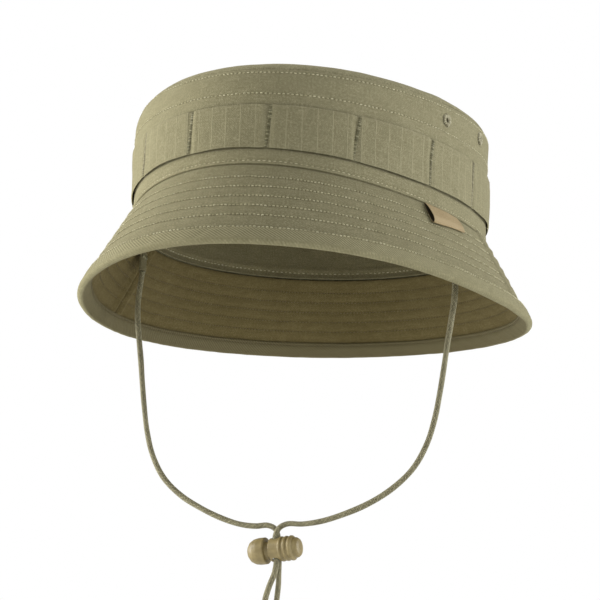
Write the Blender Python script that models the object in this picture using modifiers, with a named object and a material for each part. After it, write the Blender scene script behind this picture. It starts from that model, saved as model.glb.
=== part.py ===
"""Short-brimmed boonie hat with a loop band and a corded chin strap.

Units are metres. +Z is up, the front of the hat faces -Y and the wearer's
left is +X. The origin is the centre of the head opening, on the level where
the crown is sewn to the brim. Angles around the hat are measured from the
front, positive towards the wearer's left.
"""

import math

import bmesh
import bpy
from mathutils import Matrix, Vector

# ---------------------------------------------------------------- dimensions
HALF_WIDTH = 0.0860          # crown half width at the seam, outside
HALF_LENGTH = 0.1035         # crown half length at the seam, outside
TOP_FRONT = 0.0538           # height of the crown wall, front
TOP_REAR = 0.0575            # the same at the rear
TOP_SAG = 0.0016             # the wall is lower by this at the sides
SEAM_DIP = 0.0038            # the crown seam dips by this at the sides
SEAM_SKEW = 0.0026           # and rises at the front
WALL_FLARE = 0.0106          # the wall is wider by this share at its top
WALL_WAIST = 0.0087          # and drawn in by a quarter of this midway
WALL_THICK = 0.0009
SHOULDER_IN = 0.0168         # the soft shoulder: how far it turns inwards
SHOULDER_SKEW = 0.0034       # more of it on the right than on the left
SHOULDER_TALL = 0.824        # its height for each metre inwards
SHOULDER_RISE = 0.0038       # how far it ends above the wall's own height
TIP_SEAM = 0.955             # share of the height where the tip is sewn on
TIP_FLAT = 0.55              # share of the crown tip that is flat
TIP_HEIGHT = 0.0632          # top of the flat
TIP_THICK = 0.0009

BAND_LOW, BAND_HIGH = 0.165, 0.583      # loop band, share of the wall height
BAND_THICK = 0.0009
BAND_BULGE = 0.0006          # each loop stands off by this between its tacks
TACKS_MM = (-271.0, -229.0, -187.0, -144.5, -101.5, -58.2, -19.8,
            20.3, 62.4, 106.9, 146.7, 188.0, 230.0, 272.0)
TACK_WIDTH = 0.0019
TACK_THICK = 0.0005

TAPE_LOW, TAPE_HIGH = 0.69, 0.925       # facing tape behind the eyelets
EYELETS = ((73.0, 0.808), (94.2, 0.833))  # angle and share of the height
EYELET_HOLE = 0.0014
EYELET_RING = 0.0023
EYELET_THREAD = 0.0005

SWEATBAND_HEIGHT = 0.0285
SWEATBAND_THICK = 0.0012

BRIM_LENGTH = 0.0486         # along the slope
BRIM_EXTRA = 0.0030          # longer by this at the front, shorter behind
BRIM_ENDS = 0.0012           # longer by this at both ends, shorter at the sides
BRIM_NIP = 0.0032            # shorter by this over the left temple
NIP_AT, NIP_SPAN = math.radians(50), math.radians(28)
BRIM_SLOPE = 1.0078          # radians below the horizontal
BRIM_DROP = (0.0516, -0.0520, -0.0020, 0.0098)   # front, ends, left, quarters
PLY = 0.0005
LINING = 0.0004
BINDING_WIDTH = 0.0092
BRIM_SEAMS = (-84.0, 96.0)   # where the front and rear brim panels meet
GAP = 0.0003

TAG_FROM, TAG_TO = 63.8, 78.6

CORD_D = 0.0028
CORD_Y = -0.0200             # the strap hangs in this plane
STRAND_OFF = 0.0016          # the two strands lie this far either side of it
ANCHOR_X = 0.0838
ANCHOR_TOP, ANCHOR_LOW = -0.0092, -0.0195
ANCHOR_WIDTH, ANCHOR_THICK = 0.0090, 0.0016

LOCK = Vector((-0.0027, CORD_Y, -0.1632))
LOCK_TILT = math.radians(5.0)
LOCK_TRAVEL = 0.0022         # press of the button

STEPS = 72

for old in list(bpy.data.objects):
    bpy.data.objects.remove(old, do_unlink=True)

parts = bpy.data.collections.new("boonie_hat")
cutters = bpy.data.collections.new("boonie_hat_cutters")
bpy.context.scene.collection.children.link(parts)
bpy.context.scene.collection.children.link(cutters)


# ------------------------------------------------------------------ helpers
def material(name, colour, roughness, metallic=0.0):
    mat = bpy.data.materials.new(name)
    mat.use_nodes = True
    shader = mat.node_tree.nodes["Principled BSDF"]
    shader.inputs["Base Color"].default_value = (*colour, 1.0)
    shader.inputs["Roughness"].default_value = roughness
    shader.inputs["Metallic"].default_value = metallic
    mat.diffuse_color = (*colour, 1.0)
    return mat


OLIVE = (0.214, 0.194, 0.115)
OLIVE_DARK = (0.130, 0.108, 0.050)
OLIVE_PALE = (0.290, 0.262, 0.160)
THREAD = (0.360, 0.330, 0.215)
TAN = (0.392, 0.302, 0.190)
MOULDED = (0.235, 0.200, 0.105)


def adopt(obj, name, colour, roughness, metallic=0.0):
    """Names an object, gives it its own material and files it as a part."""
    obj.name = name
    obj.data.name = name
    obj.data.materials.clear()
    obj.data.materials.append(material(name, colour, roughness, metallic))
    for coll in list(obj.users_collection):
        coll.objects.unlink(obj)
    parts.objects.link(obj)
    return obj


def as_cutter(obj, name):
    obj.name = name
    obj.hide_render = True
    obj.display_type = "WIRE"
    for coll in list(obj.users_collection):
        coll.objects.unlink(obj)
    cutters.objects.link(obj)
    return obj


def mesh_object(name, bm, sharp=35.0):
    bmesh.ops.recalc_face_normals(bm, faces=bm.faces)
    mesh = bpy.data.meshes.new(name)
    bm.to_mesh(mesh)
    bm.free()
    mesh.shade_smooth()
    mesh.set_sharp_from_angle(angle=math.radians(sharp))
    return bpy.data.objects.new(name, mesh)


def loft(name, sections, closed):
    """A solid swept through unlike sections, each a closed outline."""
    bm = bmesh.new()
    rows = [[bm.verts.new(p) for p in section] for section in sections]
    count = len(rows[0])
    last = len(rows) if closed else len(rows) - 1
    for i in range(last):
        a, b = rows[i], rows[(i + 1) % len(rows)]
        for j in range(count):
            k = (j + 1) % count
            bm.faces.new((a[j], b[j], b[k], a[k]))
    if not closed:
        bm.faces.new(list(reversed(rows[0])))
        bm.faces.new(rows[-1])
    return mesh_object(name, bm)


def domed(name, first, rings, last):
    """A solid of closed rings between two poles."""
    bm = bmesh.new()
    top, bottom = bm.verts.new(first), bm.verts.new(last)
    rows = [[bm.verts.new(p) for p in ring] for ring in rings]
    count = len(rows[0])
    for j in range(count):
        k = (j + 1) % count
        bm.faces.new((top, rows[0][j], rows[0][k]))
        bm.faces.new((bottom, rows[-1][k], rows[-1][j]))
        for a, b in zip(rows, rows[1:]):
            bm.faces.new((a[j], b[j], b[k], a[k]))
    return mesh_object(name, bm)


def angles(start, stop, count):
    return [math.radians(start + (stop - start) * i / count) for i in range(count + 1)]


AROUND = [2 * math.pi * i / STEPS for i in range(STEPS)]


# ----------------------------------------------------------- the hat's shape
def outward(a):
    v = Vector((math.sin(a) / HALF_WIDTH, -math.cos(a) / HALF_LENGTH, 0.0))
    return v.normalized()


def seam_z(a):
    return SEAM_DIP * math.cos(2 * a) + SEAM_SKEW * math.cos(a) ** 3


def top_z(a):
    front = (1 + math.cos(a)) / 2
    return TOP_REAR * (1 - front) + TOP_FRONT * front + TOP_SAG * math.cos(2 * a)


def oval(a, scale=1.0):
    return Vector((HALF_WIDTH * scale * math.sin(a), -HALF_LENGTH * scale * math.cos(a), 0.0))


def shoulder(a):
    """How far the shoulder turns inwards and how tall it is."""
    inwards = SHOULDER_IN - SHOULDER_SKEW * math.sin(a)
    return inwards, inwards * SHOULDER_TALL


def turned_in(a, z):
    """How far the shoulder has turned inwards at a height."""
    inwards, tall = shoulder(a)
    rise = min(1.0, max(0.0, (z - top_z(a) - SHOULDER_RISE + tall) / tall))
    return inwards * (1 - math.sqrt(1 - rise * rise))


def wall(a, share, off):
    """A point on the crown wall: share of the height, distance off its face."""
    z = seam_z(a) * (1 - share) + top_z(a) * share
    wide = 1 + WALL_FLARE * share - WALL_WAIST * share * (1 - share)
    p = oval(a, wide) + outward(a) * (off - turned_in(a, z))
    p.z = z
    return p


def share_at(a, z):
    return (z - seam_z(a)) / (top_z(a) - seam_z(a))


def slope(a):
    front, ends, left, quarters = BRIM_DROP
    return (BRIM_SLOPE + front * math.cos(a) + ends * math.cos(2 * a)
            + left * math.sin(a) + quarters * math.sin(2 * a))


def brim_length(a):
    away = math.atan2(math.sin(a - NIP_AT), math.cos(a - NIP_AT)) / NIP_SPAN
    return (BRIM_LENGTH + BRIM_EXTRA * math.cos(a) + BRIM_ENDS * math.cos(2 * a)
            - BRIM_NIP * math.exp(-away * away))


def brim(a, along, off):
    """A point of the brim: distance down the slope, distance off its top."""
    s, n = slope(a), outward(a)
    down = n * math.cos(s) - Vector((0, 0, math.sin(s)))
    up = n * math.sin(s) + Vector((0, 0, math.cos(s)))
    p = oval(a) + down * along + up * off
    p.z += seam_z(a)
    return p


def arc_table(count=7200):
    """Distance around the crown from the front, against the angle."""
    table, total, before = [(0.0, 0.0)], 0.0, oval(0.0)
    for i in range(1, count + 1):
        a = math.pi * i / count
        here = oval(a)
        total += (here - before).length
        before = here
        table.append((total, a))
    return table


ARC = arc_table()


def angle_at(distance):
    d, sign = abs(distance), -1.0 if distance < 0 else 1.0
    low, high = 0, len(ARC) - 1
    while high - low > 1:
        mid = (low + high) // 2
        if ARC[mid][0] < d:
            low = mid
        else:
            high = mid
    (d0, a0), (d1, a1) = ARC[low], ARC[high]
    return sign * (a0 + (a1 - a0) * (d - d0) / (d1 - d0))


HALF_AROUND = ARC[-1][0]

# -------------------------------------------------------------------- crown
UP_WALL = (0.5, 0.78, 0.87, 0.92)
sections = []
for a in AROUND:
    low = share_at(a, seam_z(a) + 0.0006)
    shares = (low,) + UP_WALL + (TIP_SEAM,)
    sections.append([wall(a, f, 0) for f in shares]
                    + [wall(a, f, -WALL_THICK) for f in reversed(shares)])
crown_wall = adopt(loft("crown_wall", sections, True), "crown_wall", OLIVE, 0.85)


def tip_start(a):
    """Height of the tip's sewn edge, and how far the shoulder has turned there."""
    z = seam_z(a) * (1 - TIP_SEAM) + top_z(a) * TIP_SEAM + GAP
    inwards, tall = shoulder(a)
    return z, math.asin((z - top_z(a) - SHOULDER_RISE + tall) / tall)


def shoulder_ring(part, inside):
    """A ring of the shoulder; part runs from the sewn edge to its top."""
    ring = []
    for a in AROUND:
        z, first = tip_start(a)
        inwards, tall = shoulder(a)
        turn = first + (math.pi / 2 - first) * part
        level = top_z(a) + SHOULDER_RISE - tall
        x, z = inwards * (1 - math.cos(turn)), level + tall * math.sin(turn)
        if part == 0.0:
            x += inside
        else:
            x, z = x + inside * math.cos(turn), z - inside * math.sin(turn)
        p = oval(a, 1 + WALL_FLARE) - outward(a) * x
        p.z = z
        ring.append(p)
    return ring


SHOULDER_TOP = shoulder_ring(1.0, 0.0)


def tip_ring(k, drop):
    """A ring of the tip, k of the way out to the shoulder's top."""
    t = max(0.0, (k - TIP_FLAT) / (1 - TIP_FLAT))
    fall = t * t * (3 - 2 * t)
    ring = []
    for p in SHOULDER_TOP:
        z = TIP_HEIGHT + (p.z - TIP_HEIGHT) * fall - drop
        ring.append(Vector((p.x * k, p.y * k, z)))
    return ring


OUT = (TIP_FLAT, 0.7, 0.85)
rings = ([tip_ring(k, 0) for k in OUT] + [shoulder_ring(f, 0.0) for f in (1.0, 0.75, 0.5, 0.25, 0.0)]
         + [shoulder_ring(f, TIP_THICK) for f in (0.0, 0.33, 0.66, 1.0)]
         + [tip_ring(k, TIP_THICK) for k in reversed(OUT)])
adopt(domed("crown_tip", (0, 0, TIP_HEIGHT), rings, (0, 0, TIP_HEIGHT - TIP_THICK)),
      "crown_tip", OLIVE, 0.85)

tape_out = -WALL_THICK - GAP
UP_TAPE = (TAPE_LOW, 0.78, 0.87, TAPE_HIGH)
sections = [[wall(a, f, tape_out) for f in UP_TAPE]
            + [wall(a, f, tape_out - 0.0006) for f in reversed(UP_TAPE)] for a in AROUND]
facing_tape = adopt(loft("crown_facing_tape", sections, True), "crown_facing_tape",
                    OLIVE_PALE, 0.8)

sweat_out = -WALL_THICK - GAP
sections = []
for a in AROUND:
    low = share_at(a, seam_z(a) - 0.0005)
    high = share_at(a, seam_z(a) + SWEATBAND_HEIGHT)
    sections.append([wall(a, low, sweat_out), wall(a, high, sweat_out),
                     wall(a, high, sweat_out - SWEATBAND_THICK),
                     wall(a, low, sweat_out - SWEATBAND_THICK)])
adopt(loft("sweatband", sections, True), "sweatband", OLIVE_PALE, 0.8)

# ---------------------------------------------------------------- loop band
BAND_TOP_OFF, BAND_LOW_OFF = 0.0004, 0.0005


def band_section(a, bulge):
    top, low = BAND_TOP_OFF + bulge * 0.8, BAND_LOW_OFF + bulge
    return [wall(a, BAND_LOW, low), wall(a, BAND_LOW, low + BAND_THICK),
            wall(a, BAND_HIGH, top + BAND_THICK), wall(a, BAND_HIGH, top)]


tacks = [t / 1000 for t in TACKS_MM]
ends = tacks + [tacks[0] + 2 * HALF_AROUND]
sections = []
for here, after in zip(ends, ends[1:]):
    for i in range(6):
        d = here + (after - here) * i / 6
        bulge = BAND_BULGE * math.sin(math.pi * i / 6)
        if d > HALF_AROUND:
            d -= 2 * HALF_AROUND
        sections.append(band_section(angle_at(d), bulge))
adopt(loft("loop_band", sections, True), "loop_band", OLIVE, 0.85)

for number, distance in enumerate(tacks, 1):
    sections = []
    for side in (-0.5, 0.5):
        a = angle_at(distance + side * TACK_WIDTH)
        low, high = BAND_LOW + 0.015, BAND_HIGH - 0.015
        top = BAND_TOP_OFF + BAND_THICK + 0.0004
        bottom = BAND_LOW_OFF + BAND_THICK + 0.0004
        sections.append([wall(a, low, bottom), wall(a, low, bottom + TACK_THICK),
                         wall(a, high, top + TACK_THICK), wall(a, high, top)])
    name = f"bartack_{number:02d}"
    adopt(loft(name, sections, False), name, THREAD, 0.7)

# ------------------------------------------------------------------ eyelets
for side, word in ((1, "left"), (-1, "right")):
    for (degrees, share), place in zip(EYELETS, ("front", "rear")):
        a = math.radians(degrees) * side
        turn = outward(a).to_track_quat("Z", "Y")
        bpy.ops.mesh.primitive_cylinder_add(
            vertices=16, radius=EYELET_HOLE, depth=0.008, location=wall(a, share, -0.001))
        hole = as_cutter(bpy.context.object, f"eyelet_hole_{word}_{place}")
        hole.rotation_mode = "QUATERNION"
        hole.rotation_quaternion = turn
        for target in (crown_wall, facing_tape):
            cut = target.modifiers.new(hole.name, "BOOLEAN")
            cut.operation = "DIFFERENCE"
            cut.solver = "EXACT"
            cut.object = hole
        bpy.ops.mesh.primitive_torus_add(
            major_segments=20, minor_segments=6, major_radius=EYELET_RING,
            minor_radius=EYELET_THREAD, location=wall(a, share, EYELET_THREAD + 0.00035))
        ring = bpy.context.object
        ring.rotation_mode = "QUATERNION"
        ring.rotation_quaternion = turn
        ring.data.shade_smooth()
        adopt(ring, f"eyelet_{word}_{place}", THREAD, 0.7)

# --------------------------------------------------------------------- brim
SEAM_GAP = math.degrees(0.0002 / 0.09)
panels = (("front", BRIM_SEAMS[0] + SEAM_GAP, BRIM_SEAMS[1] - SEAM_GAP),
          ("rear", BRIM_SEAMS[1] + SEAM_GAP, BRIM_SEAMS[0] + 360 - SEAM_GAP))
layers = (("brim_upper", 0.0010, 0.0018, 0.0, PLY, OLIVE),
          ("brim_stiffener", 0.0030, 0.0115, PLY + GAP, LINING, OLIVE_PALE),
          ("brim_lower", 0.0010, 0.0018, PLY + LINING + 2 * GAP, PLY, OLIVE_DARK))
for layer, start, short, depth, thick, colour in layers:
    for panel, a0, a1 in panels:
        sections = []
        for a in angles(a0, a1, STEPS // 2):
            end = brim_length(a) - short
            sections.append([brim(a, start, -depth), brim(a, end, -depth),
                             brim(a, end, -depth - thick), brim(a, start, -depth - thick)])
        name = f"{layer}_{panel}"
        adopt(loft(name, sections, False), name, colour, 0.85)

UNDER = 2 * PLY + LINING + 2 * GAP     # depth of the plies at the edge
sections = []
for a in AROUND:
    e = brim_length(a)
    profile = ((e - BINDING_WIDTH, GAP), (e - BINDING_WIDTH, 0.0008), (e - 0.0015, 0.0008),
               (e - 0.0004, 0.0003), (e, -UNDER / 2), (e - 0.0004, -UNDER - 0.0003),
               (e - 0.0015, -UNDER - 0.0008), (e - BINDING_WIDTH, -UNDER - 0.0008),
               (e - BINDING_WIDTH, -UNDER - GAP), (e - 0.0015, -UNDER - GAP),
               (e - 0.0015, GAP))
    sections.append([brim(a, x, y) for x, y in profile])
adopt(loft("brim_binding", sections, True), "brim_binding", OLIVE_PALE, 0.85)

# ---------------------------------------------- blank folded tag in the seam
outline = ((1.3, 1.6), (6.0, 3.2), (11.0, 3.9), (12.9, 3.2), (13.4, 2.1), (12.6, 0.9),
           (10.0, 0.5), (1.3, 0.5), (1.3, 0.9), (10.0, 0.95), (12.1, 1.35), (12.8, 2.1),
           (12.4, 2.8), (10.8, 3.4), (6.0, 2.7), (1.3, 1.2))
sections = []
for i, a in enumerate(angles(TAG_FROM, TAG_TO, 8)):
    flat, short = 1.0 - 0.45 * i / 8, 1.0 - 0.26 * i / 8
    sections.append([brim(a, x * short / 1000, (0.5 + (y - 0.5) * flat) / 1000)
                     for x, y in outline])
adopt(loft("label_tag", sections, False), "label_tag", TAN, 0.6)

# --------------------------------------------- tabs that hold the strap ends
LEAN = math.atan2(HALF_WIDTH * math.cos(math.radians(78.9)),
                  HALF_LENGTH * math.sin(math.radians(78.9)))
for side, word in ((1, "left"), (-1, "right")):
    tall = ANCHOR_TOP - ANCHOR_LOW
    bpy.ops.mesh.primitive_cube_add(size=1.0)
    tab = bpy.context.object
    tab.data.transform(Matrix.Diagonal((ANCHOR_THICK, ANCHOR_WIDTH, tall, 1.0)))
    tab.location = (side * ANCHOR_X, CORD_Y, (ANCHOR_TOP + ANCHOR_LOW) / 2)
    tab.rotation_euler = (0, 0, -side * LEAN)
    edge = tab.modifiers.new("edges", "BEVEL")
    edge.width = 0.0004
    edge.segments = 2
    adopt(tab, f"cord_anchor_{word}", OLIVE, 0.85)
    bpy.ops.mesh.primitive_cube_add(size=1.0)
    tack = bpy.context.object
    tack.data.transform(Matrix.Diagonal((0.0005, 0.0070, 0.0019, 1.0)))
    inward = Matrix.Rotation(-side * LEAN, 3, "Z") @ Vector((-side, 0, 0))
    tack.location = (Vector((side * ANCHOR_X, CORD_Y, ANCHOR_TOP - 0.0030))
                     + inward * (ANCHOR_THICK / 2 + 0.00025 + GAP))
    tack.rotation_euler = (0, 0, -side * LEAN)
    adopt(tack, f"anchor_tack_{word}", THREAD, 0.7)

# --------------------------------------------------------------- chin strap
HOLE_UP = Vector((-math.sin(LOCK_TILT), 0, math.cos(LOCK_TILT)))
ALONG = Vector((math.cos(LOCK_TILT), 0, math.sin(LOCK_TILT)))


def in_hole(up):
    p = LOCK + HOLE_UP * up
    return (p.x * 1000, p.z * 1000)


CORD_START = ANCHOR_LOW - GAP
# x and z of the strands in millimetres, from the tab down to the lock
SIDE_RUN = ((ANCHOR_X * 1000, CORD_START * 1000), (84.7, -27.6), (85.4, -35.5), (85.2, -44.4),
            (84.1, -53.4), (82.4, -65.4), (80.9, -77.8), (79.2, -90.1), (77.0, -102.5),
            (73.3, -114.6), (66.8, -125.9), (56.8, -135.1), (44.6, -142.2))
INTO_LEFT = ((31.5, -147.2), (20.3, -150.2), (10.7, -151.3), (2.7, -151.1), (-1.4, -153.0))
INTO_RIGHT = ((-33.7, -147.1), (-23.9, -150.2), (-15.5, -151.3), (-8.8, -151.1), (-4.8, -153.0))
THROUGH = tuple(in_hole(u / 1000) for u in (6.4, 3.0, 0.0, -3.0, -6.4))
# the tails below the lock meet again in a hanging loop
TAIL_FRONT = ((-2.9, -174.7), (-5.4, -181.0), (-7.3, -187.6), (-7.4, -193.7), (-6.0, -199.5),
              (-4.2, -205.0), (-3.5, -210.0), (-3.0, -216.5), (-3.2, -221.9), (-5.3, -229.4),
              (-8.4, -236.9), (-9.6, -244.5), (-7.8, -249.8))
LOOP_LOW = (-3.3, -251.9)
TAIL_BACK = ((1.3, -249.9), (3.3, -244.6), (2.3, -236.9), (-0.6, -229.4), (-2.6, -221.9),
             (-3.0, -216.5), (-3.6, -210.0), (-3.8, -203.5), (-3.4, -196.6), (-2.7, -187.6),
             (-2.1, -180.1), (-2.1, -174.7))


def strand(points, y0, y1):
    out = []
    for i, (x, z) in enumerate(points):
        t = i / (len(points) - 1)
        t = t * t * (3 - 2 * t)
        out.append(Vector((x / 1000, y0 + (y1 - y0) * t, z / 1000)))
    return out


FRONT_Y, BACK_Y = CORD_Y - STRAND_OFF, CORD_Y + STRAND_OFF
route = strand(SIDE_RUN, CORD_Y, FRONT_Y)
route += strand(INTO_LEFT + THROUGH + TAIL_FRONT, FRONT_Y, FRONT_Y)
route += [Vector((LOOP_LOW[0] / 1000, CORD_Y, LOOP_LOW[1] / 1000))]
route += strand(TAIL_BACK + THROUGH[::-1] + INTO_RIGHT[::-1], BACK_Y, BACK_Y)
route += strand([(-x, z) for x, z in SIDE_RUN], CORD_Y, BACK_Y)[::-1]


def smooth_curve(points, per_span=24):
    """A centripetal curve through the points."""
    ext = [points[0] * 2 - points[1]] + points + [points[-1] * 2 - points[-2]]
    out = []
    for p0, p1, p2, p3 in zip(ext, ext[1:], ext[2:], ext[3:]):
        t1 = (p1 - p0).length ** 0.5
        t2 = t1 + (p2 - p1).length ** 0.5
        t3 = t2 + (p3 - p2).length ** 0.5
        for i in range(per_span):
            t = t1 + (t2 - t1) * i / per_span
            a1 = p0 * ((t1 - t) / t1) + p1 * (t / t1)
            a2 = p1 * ((t2 - t) / (t2 - t1)) + p2 * ((t - t1) / (t2 - t1))
            a3 = p2 * ((t3 - t) / (t3 - t2)) + p3 * ((t - t2) / (t3 - t2))
            b1 = a1 * ((t2 - t) / t2) + a2 * (t / t2)
            b2 = a2 * ((t3 - t) / (t3 - t1)) + a3 * ((t - t1) / (t3 - t1))
            out.append(b1 * ((t2 - t) / (t2 - t1)) + b2 * ((t - t1) / (t2 - t1)))
    out.append(points[-1].copy())
    return out


def thinned(points, step, turn):
    """Keeps a point each step of length or turn of direction."""
    kept, spent = [points[0]], 0.0
    for before, here, after in zip(points, points[1:], points[2:]):
        spent += (here - before).length / step
        spent += (here - before).angle(after - here) / turn
        if spent >= 1.0:
            kept.append(here)
            spent = 0.0
    kept.append(points[-1])
    return kept


line = thinned(smooth_curve(route), 0.0105, math.radians(17))
cord = bpy.data.curves.new("chin_cord", "CURVE")
cord.dimensions = "3D"
cord.bevel_depth = CORD_D / 2
cord.bevel_resolution = 2
cord.use_fill_caps = True
spline = cord.splines.new("POLY")
spline.points.add(len(line) - 1)
for point, p in zip(spline.points, line):
    point.co = (*p, 1.0)
adopt(bpy.data.objects.new("chin_cord", cord), "chin_cord", OLIVE, 0.8)

# ---------------------------------------------------------------- cord lock
# turned about their own Z axis, which is then laid along ALONG
LOCK_FRAME = Matrix.Translation(LOCK) @ Matrix.Rotation(math.pi / 2 - LOCK_TILT, 4, "Y")


def turned(name, profile, steps=32):
    """A turned solid; the profile runs down its outer side."""
    mesh = bpy.data.meshes.new(name)
    mesh.from_pydata([(r / 1000, 0, z / 1000) for r, z in profile],
                     [(i, i + 1) for i in range(len(profile) - 1)], [])
    obj = bpy.data.objects.new(name, mesh)
    screw = obj.modifiers.new("turn", "SCREW")
    screw.axis = "Z"
    screw.steps = screw.render_steps = steps
    screw.use_merge_vertices = True
    screw.merge_threshold = 0.00001
    screw.use_smooth_shade = True
    obj.matrix_world = LOCK_FRAME
    return obj


def slot(name, low, high, half_y):
    """A cutter across the lock, between two stations of its axis."""
    bpy.ops.mesh.primitive_cube_add(size=1.0)
    box = bpy.context.object
    box.data.transform(Matrix.Translation((0, 0, (low + high) / 2000))
                       @ Matrix.Diagonal((0.020, half_y * 2 / 1000, (high - low) / 1000, 1.0)))
    box.matrix_world = LOCK_FRAME
    return as_cutter(box, name)


def cut_by(obj, cutter):
    cut = obj.modifiers.new(cutter.name, "BOOLEAN")
    cut.operation = "DIFFERENCE"
    cut.solver = "EXACT"
    cut.object = cutter


HALF_SLOT = (STRAND_OFF + CORD_D / 2 + GAP) * 1000
BARREL_LOW, BARREL_HIGH = -2.9, 12.6
barrel = turned("cord_lock_barrel", (
    (0, BARREL_HIGH), (2.6, 12.45), (4.1, 11.8), (4.9, 10.7), (5.0, 9.4), (5.6, 9.0),
    (6.1, 8.5), (6.1, 7.6), (5.5, 7.1), (5.5, 6.5), (6.1, 6.0), (6.1, 5.1), (5.5, 4.6),
    (5.5, 4.0), (6.1, 3.5), (6.1, 2.7), (5.8, 2.3), (5.8, BARREL_LOW + 0.3),
    (5.5, BARREL_LOW), (4.65, BARREL_LOW), (4.65, 10.6), (0, 10.6)))
cut_by(barrel, slot("barrel_cord_hole", -1.75, 1.75, HALF_SLOT))
adopt(barrel, "cord_lock_barrel", MOULDED, 0.45)

button = turned("cord_lock_button", (
    (0, 3.7), (2.6, 3.7), (2.6, 7.6), (4.1, 7.6), (4.4, 7.3), (4.4, -5.3), (6.2, -5.3),
    (6.5, -5.7), (6.5, -9.0), (6.1, -11.2), (5.0, -13.2), (3.2, -14.5), (1.3, -15.0),
    (0, -15.05)))
cut_by(button, slot("button_cord_hole", -4.3, 1.75, HALF_SLOT))
adopt(button, "cord_lock_button", MOULDED, 0.45)

coil = bpy.data.curves.new("cord_lock_spring", "CURVE")
coil.dimensions = "3D"
coil.bevel_depth = 0.0002
coil.bevel_resolution = 2
coil.use_fill_caps = True
spline = coil.splines.new("POLY")
TURNS, PER_TURN, COIL_LOW, COIL_HIGH = 5, 12, 4.3, 10.1
total = TURNS * PER_TURN
spline.points.add(total)
for i in range(total + 1):
    turn = 2 * math.pi * i / PER_TURN
    z = COIL_LOW + (COIL_HIGH - COIL_LOW) * i / total
    spline.points[i].co = (0.0021 * math.cos(turn), 0.0021 * math.sin(turn), z / 1000, 1.0)
spring = bpy.data.objects.new("cord_lock_spring", coil)
spring.matrix_world = LOCK_FRAME
adopt(spring, "cord_lock_spring", (0.55, 0.55, 0.56), 0.3, 1.0)
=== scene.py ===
"""Looks of the boonie hat: its cloth, thread, braid and moulded plastic.

Everything is in metres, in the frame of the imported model. The front of the
hat faces -Y and the wearer's left is +X. Distances around the hat are
measured along the crown's seam from the front, positive towards +X.
"""

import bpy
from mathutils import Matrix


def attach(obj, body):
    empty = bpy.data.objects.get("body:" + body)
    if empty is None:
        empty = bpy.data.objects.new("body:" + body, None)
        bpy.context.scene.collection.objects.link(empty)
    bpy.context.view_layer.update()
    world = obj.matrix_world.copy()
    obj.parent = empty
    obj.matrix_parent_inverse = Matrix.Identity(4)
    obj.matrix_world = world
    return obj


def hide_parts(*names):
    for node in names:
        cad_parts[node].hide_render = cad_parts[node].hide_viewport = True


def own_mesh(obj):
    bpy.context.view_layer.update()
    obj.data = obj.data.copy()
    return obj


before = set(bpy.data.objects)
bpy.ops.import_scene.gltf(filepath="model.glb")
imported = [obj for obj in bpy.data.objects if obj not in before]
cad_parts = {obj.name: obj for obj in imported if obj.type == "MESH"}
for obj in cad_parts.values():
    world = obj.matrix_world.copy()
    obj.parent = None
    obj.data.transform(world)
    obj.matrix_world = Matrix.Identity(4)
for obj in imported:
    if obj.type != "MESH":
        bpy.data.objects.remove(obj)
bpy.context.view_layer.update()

import math

import bpy
import numpy as np
from mathutils import Matrix, Vector

TAU = 2 * math.pi

# ------------------------------------------------- the shape, as in the CAD
HALF_WIDTH, HALF_LENGTH = 0.0860, 0.1035
TOP_FRONT, TOP_REAR, TOP_SAG = 0.0538, 0.0575, 0.0016
SEAM_DIP, SEAM_SKEW = 0.0038, 0.0026
WALL_FLARE, WALL_WAIST, WALL_THICK = 0.0106, 0.0087, 0.0009
SHOULDER_IN, SHOULDER_SKEW, SHOULDER_TALL, SHOULDER_RISE = 0.0168, 0.0034, 0.824, 0.0038
TIP_SEAM, TIP_FLAT, TIP_HEIGHT, TIP_THICK = 0.955, 0.55, 0.0632, 0.0009
BAND_LOW, BAND_HIGH = 0.165, 0.583
BAND_THICK, BAND_BULGE = 0.0007, 0.0005
BAND_TOP_OFF, BAND_LOW_OFF = 0.00020, 0.00034
TACKS_MM = (-271.0, -229.0, -187.0, -144.5, -101.5, -58.2, -19.8,
            20.3, 62.4, 106.9, 146.7, 188.0, 230.0, 272.0)
TAPE_LOW, TAPE_HIGH = 0.69, 0.925
EYELETS = ((73.0, 0.808), (94.2, 0.833))
EYELET_HOLE = 0.0014
SWEATBAND_HEIGHT, SWEATBAND_THICK = 0.0285, 0.0012
BRIM_LENGTH, BRIM_EXTRA, BRIM_ENDS = 0.0486, 0.0030, 0.0012
BRIM_NIP, NIP_AT, NIP_SPAN = 0.0032, math.radians(50), math.radians(28)
BRIM_SLOPE = 1.0078
BRIM_DROP = (0.0516, -0.0520, -0.0020, 0.0098)
PLY, LINING, GAP = 0.0005, 0.0004, 0.0003
BINDING_WIDTH = 0.0092
BRIM_SEAMS = (-84.0, 96.0)
TAG_FROM, TAG_TO = 63.8, 78.6
CORD_D, CORD_Y, STRAND_OFF = 0.0028, -0.0200, 0.0016
ANCHOR_X, ANCHOR_TOP, ANCHOR_LOW = 0.0838, -0.0092, -0.0195
ANCHOR_WIDTH, ANCHOR_THICK = 0.0090, 0.0016
LOCK = Vector((-0.0027, CORD_Y, -0.1632))
LOCK_TILT = math.radians(5.0)

# rows of stitching, as shares of the crown's height and the brim's length
CROWN_ROWS = (0.915, 0.701)
CROWN_STITCHES = 288
BRIM_ROW_0, BRIM_ROW_STEP, BRIM_ROW_COUNT = 0.1650, 0.1245, 5
BRIM_STITCHES = 386
BINDING_ROW = 0.832
BINDING_STITCHES = 404

ARC_A = np.linspace(-math.pi, math.pi, 14401)
ARC_P = np.stack([HALF_WIDTH * np.sin(ARC_A), -HALF_LENGTH * np.cos(ARC_A)], -1)
ARC_S = np.concatenate([[0], np.cumsum(np.linalg.norm(np.diff(ARC_P, axis=0), axis=1))])
AROUND = float(ARC_S[-1])            # length of the crown's seam
ARC_S = ARC_S - AROUND / 2


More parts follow.
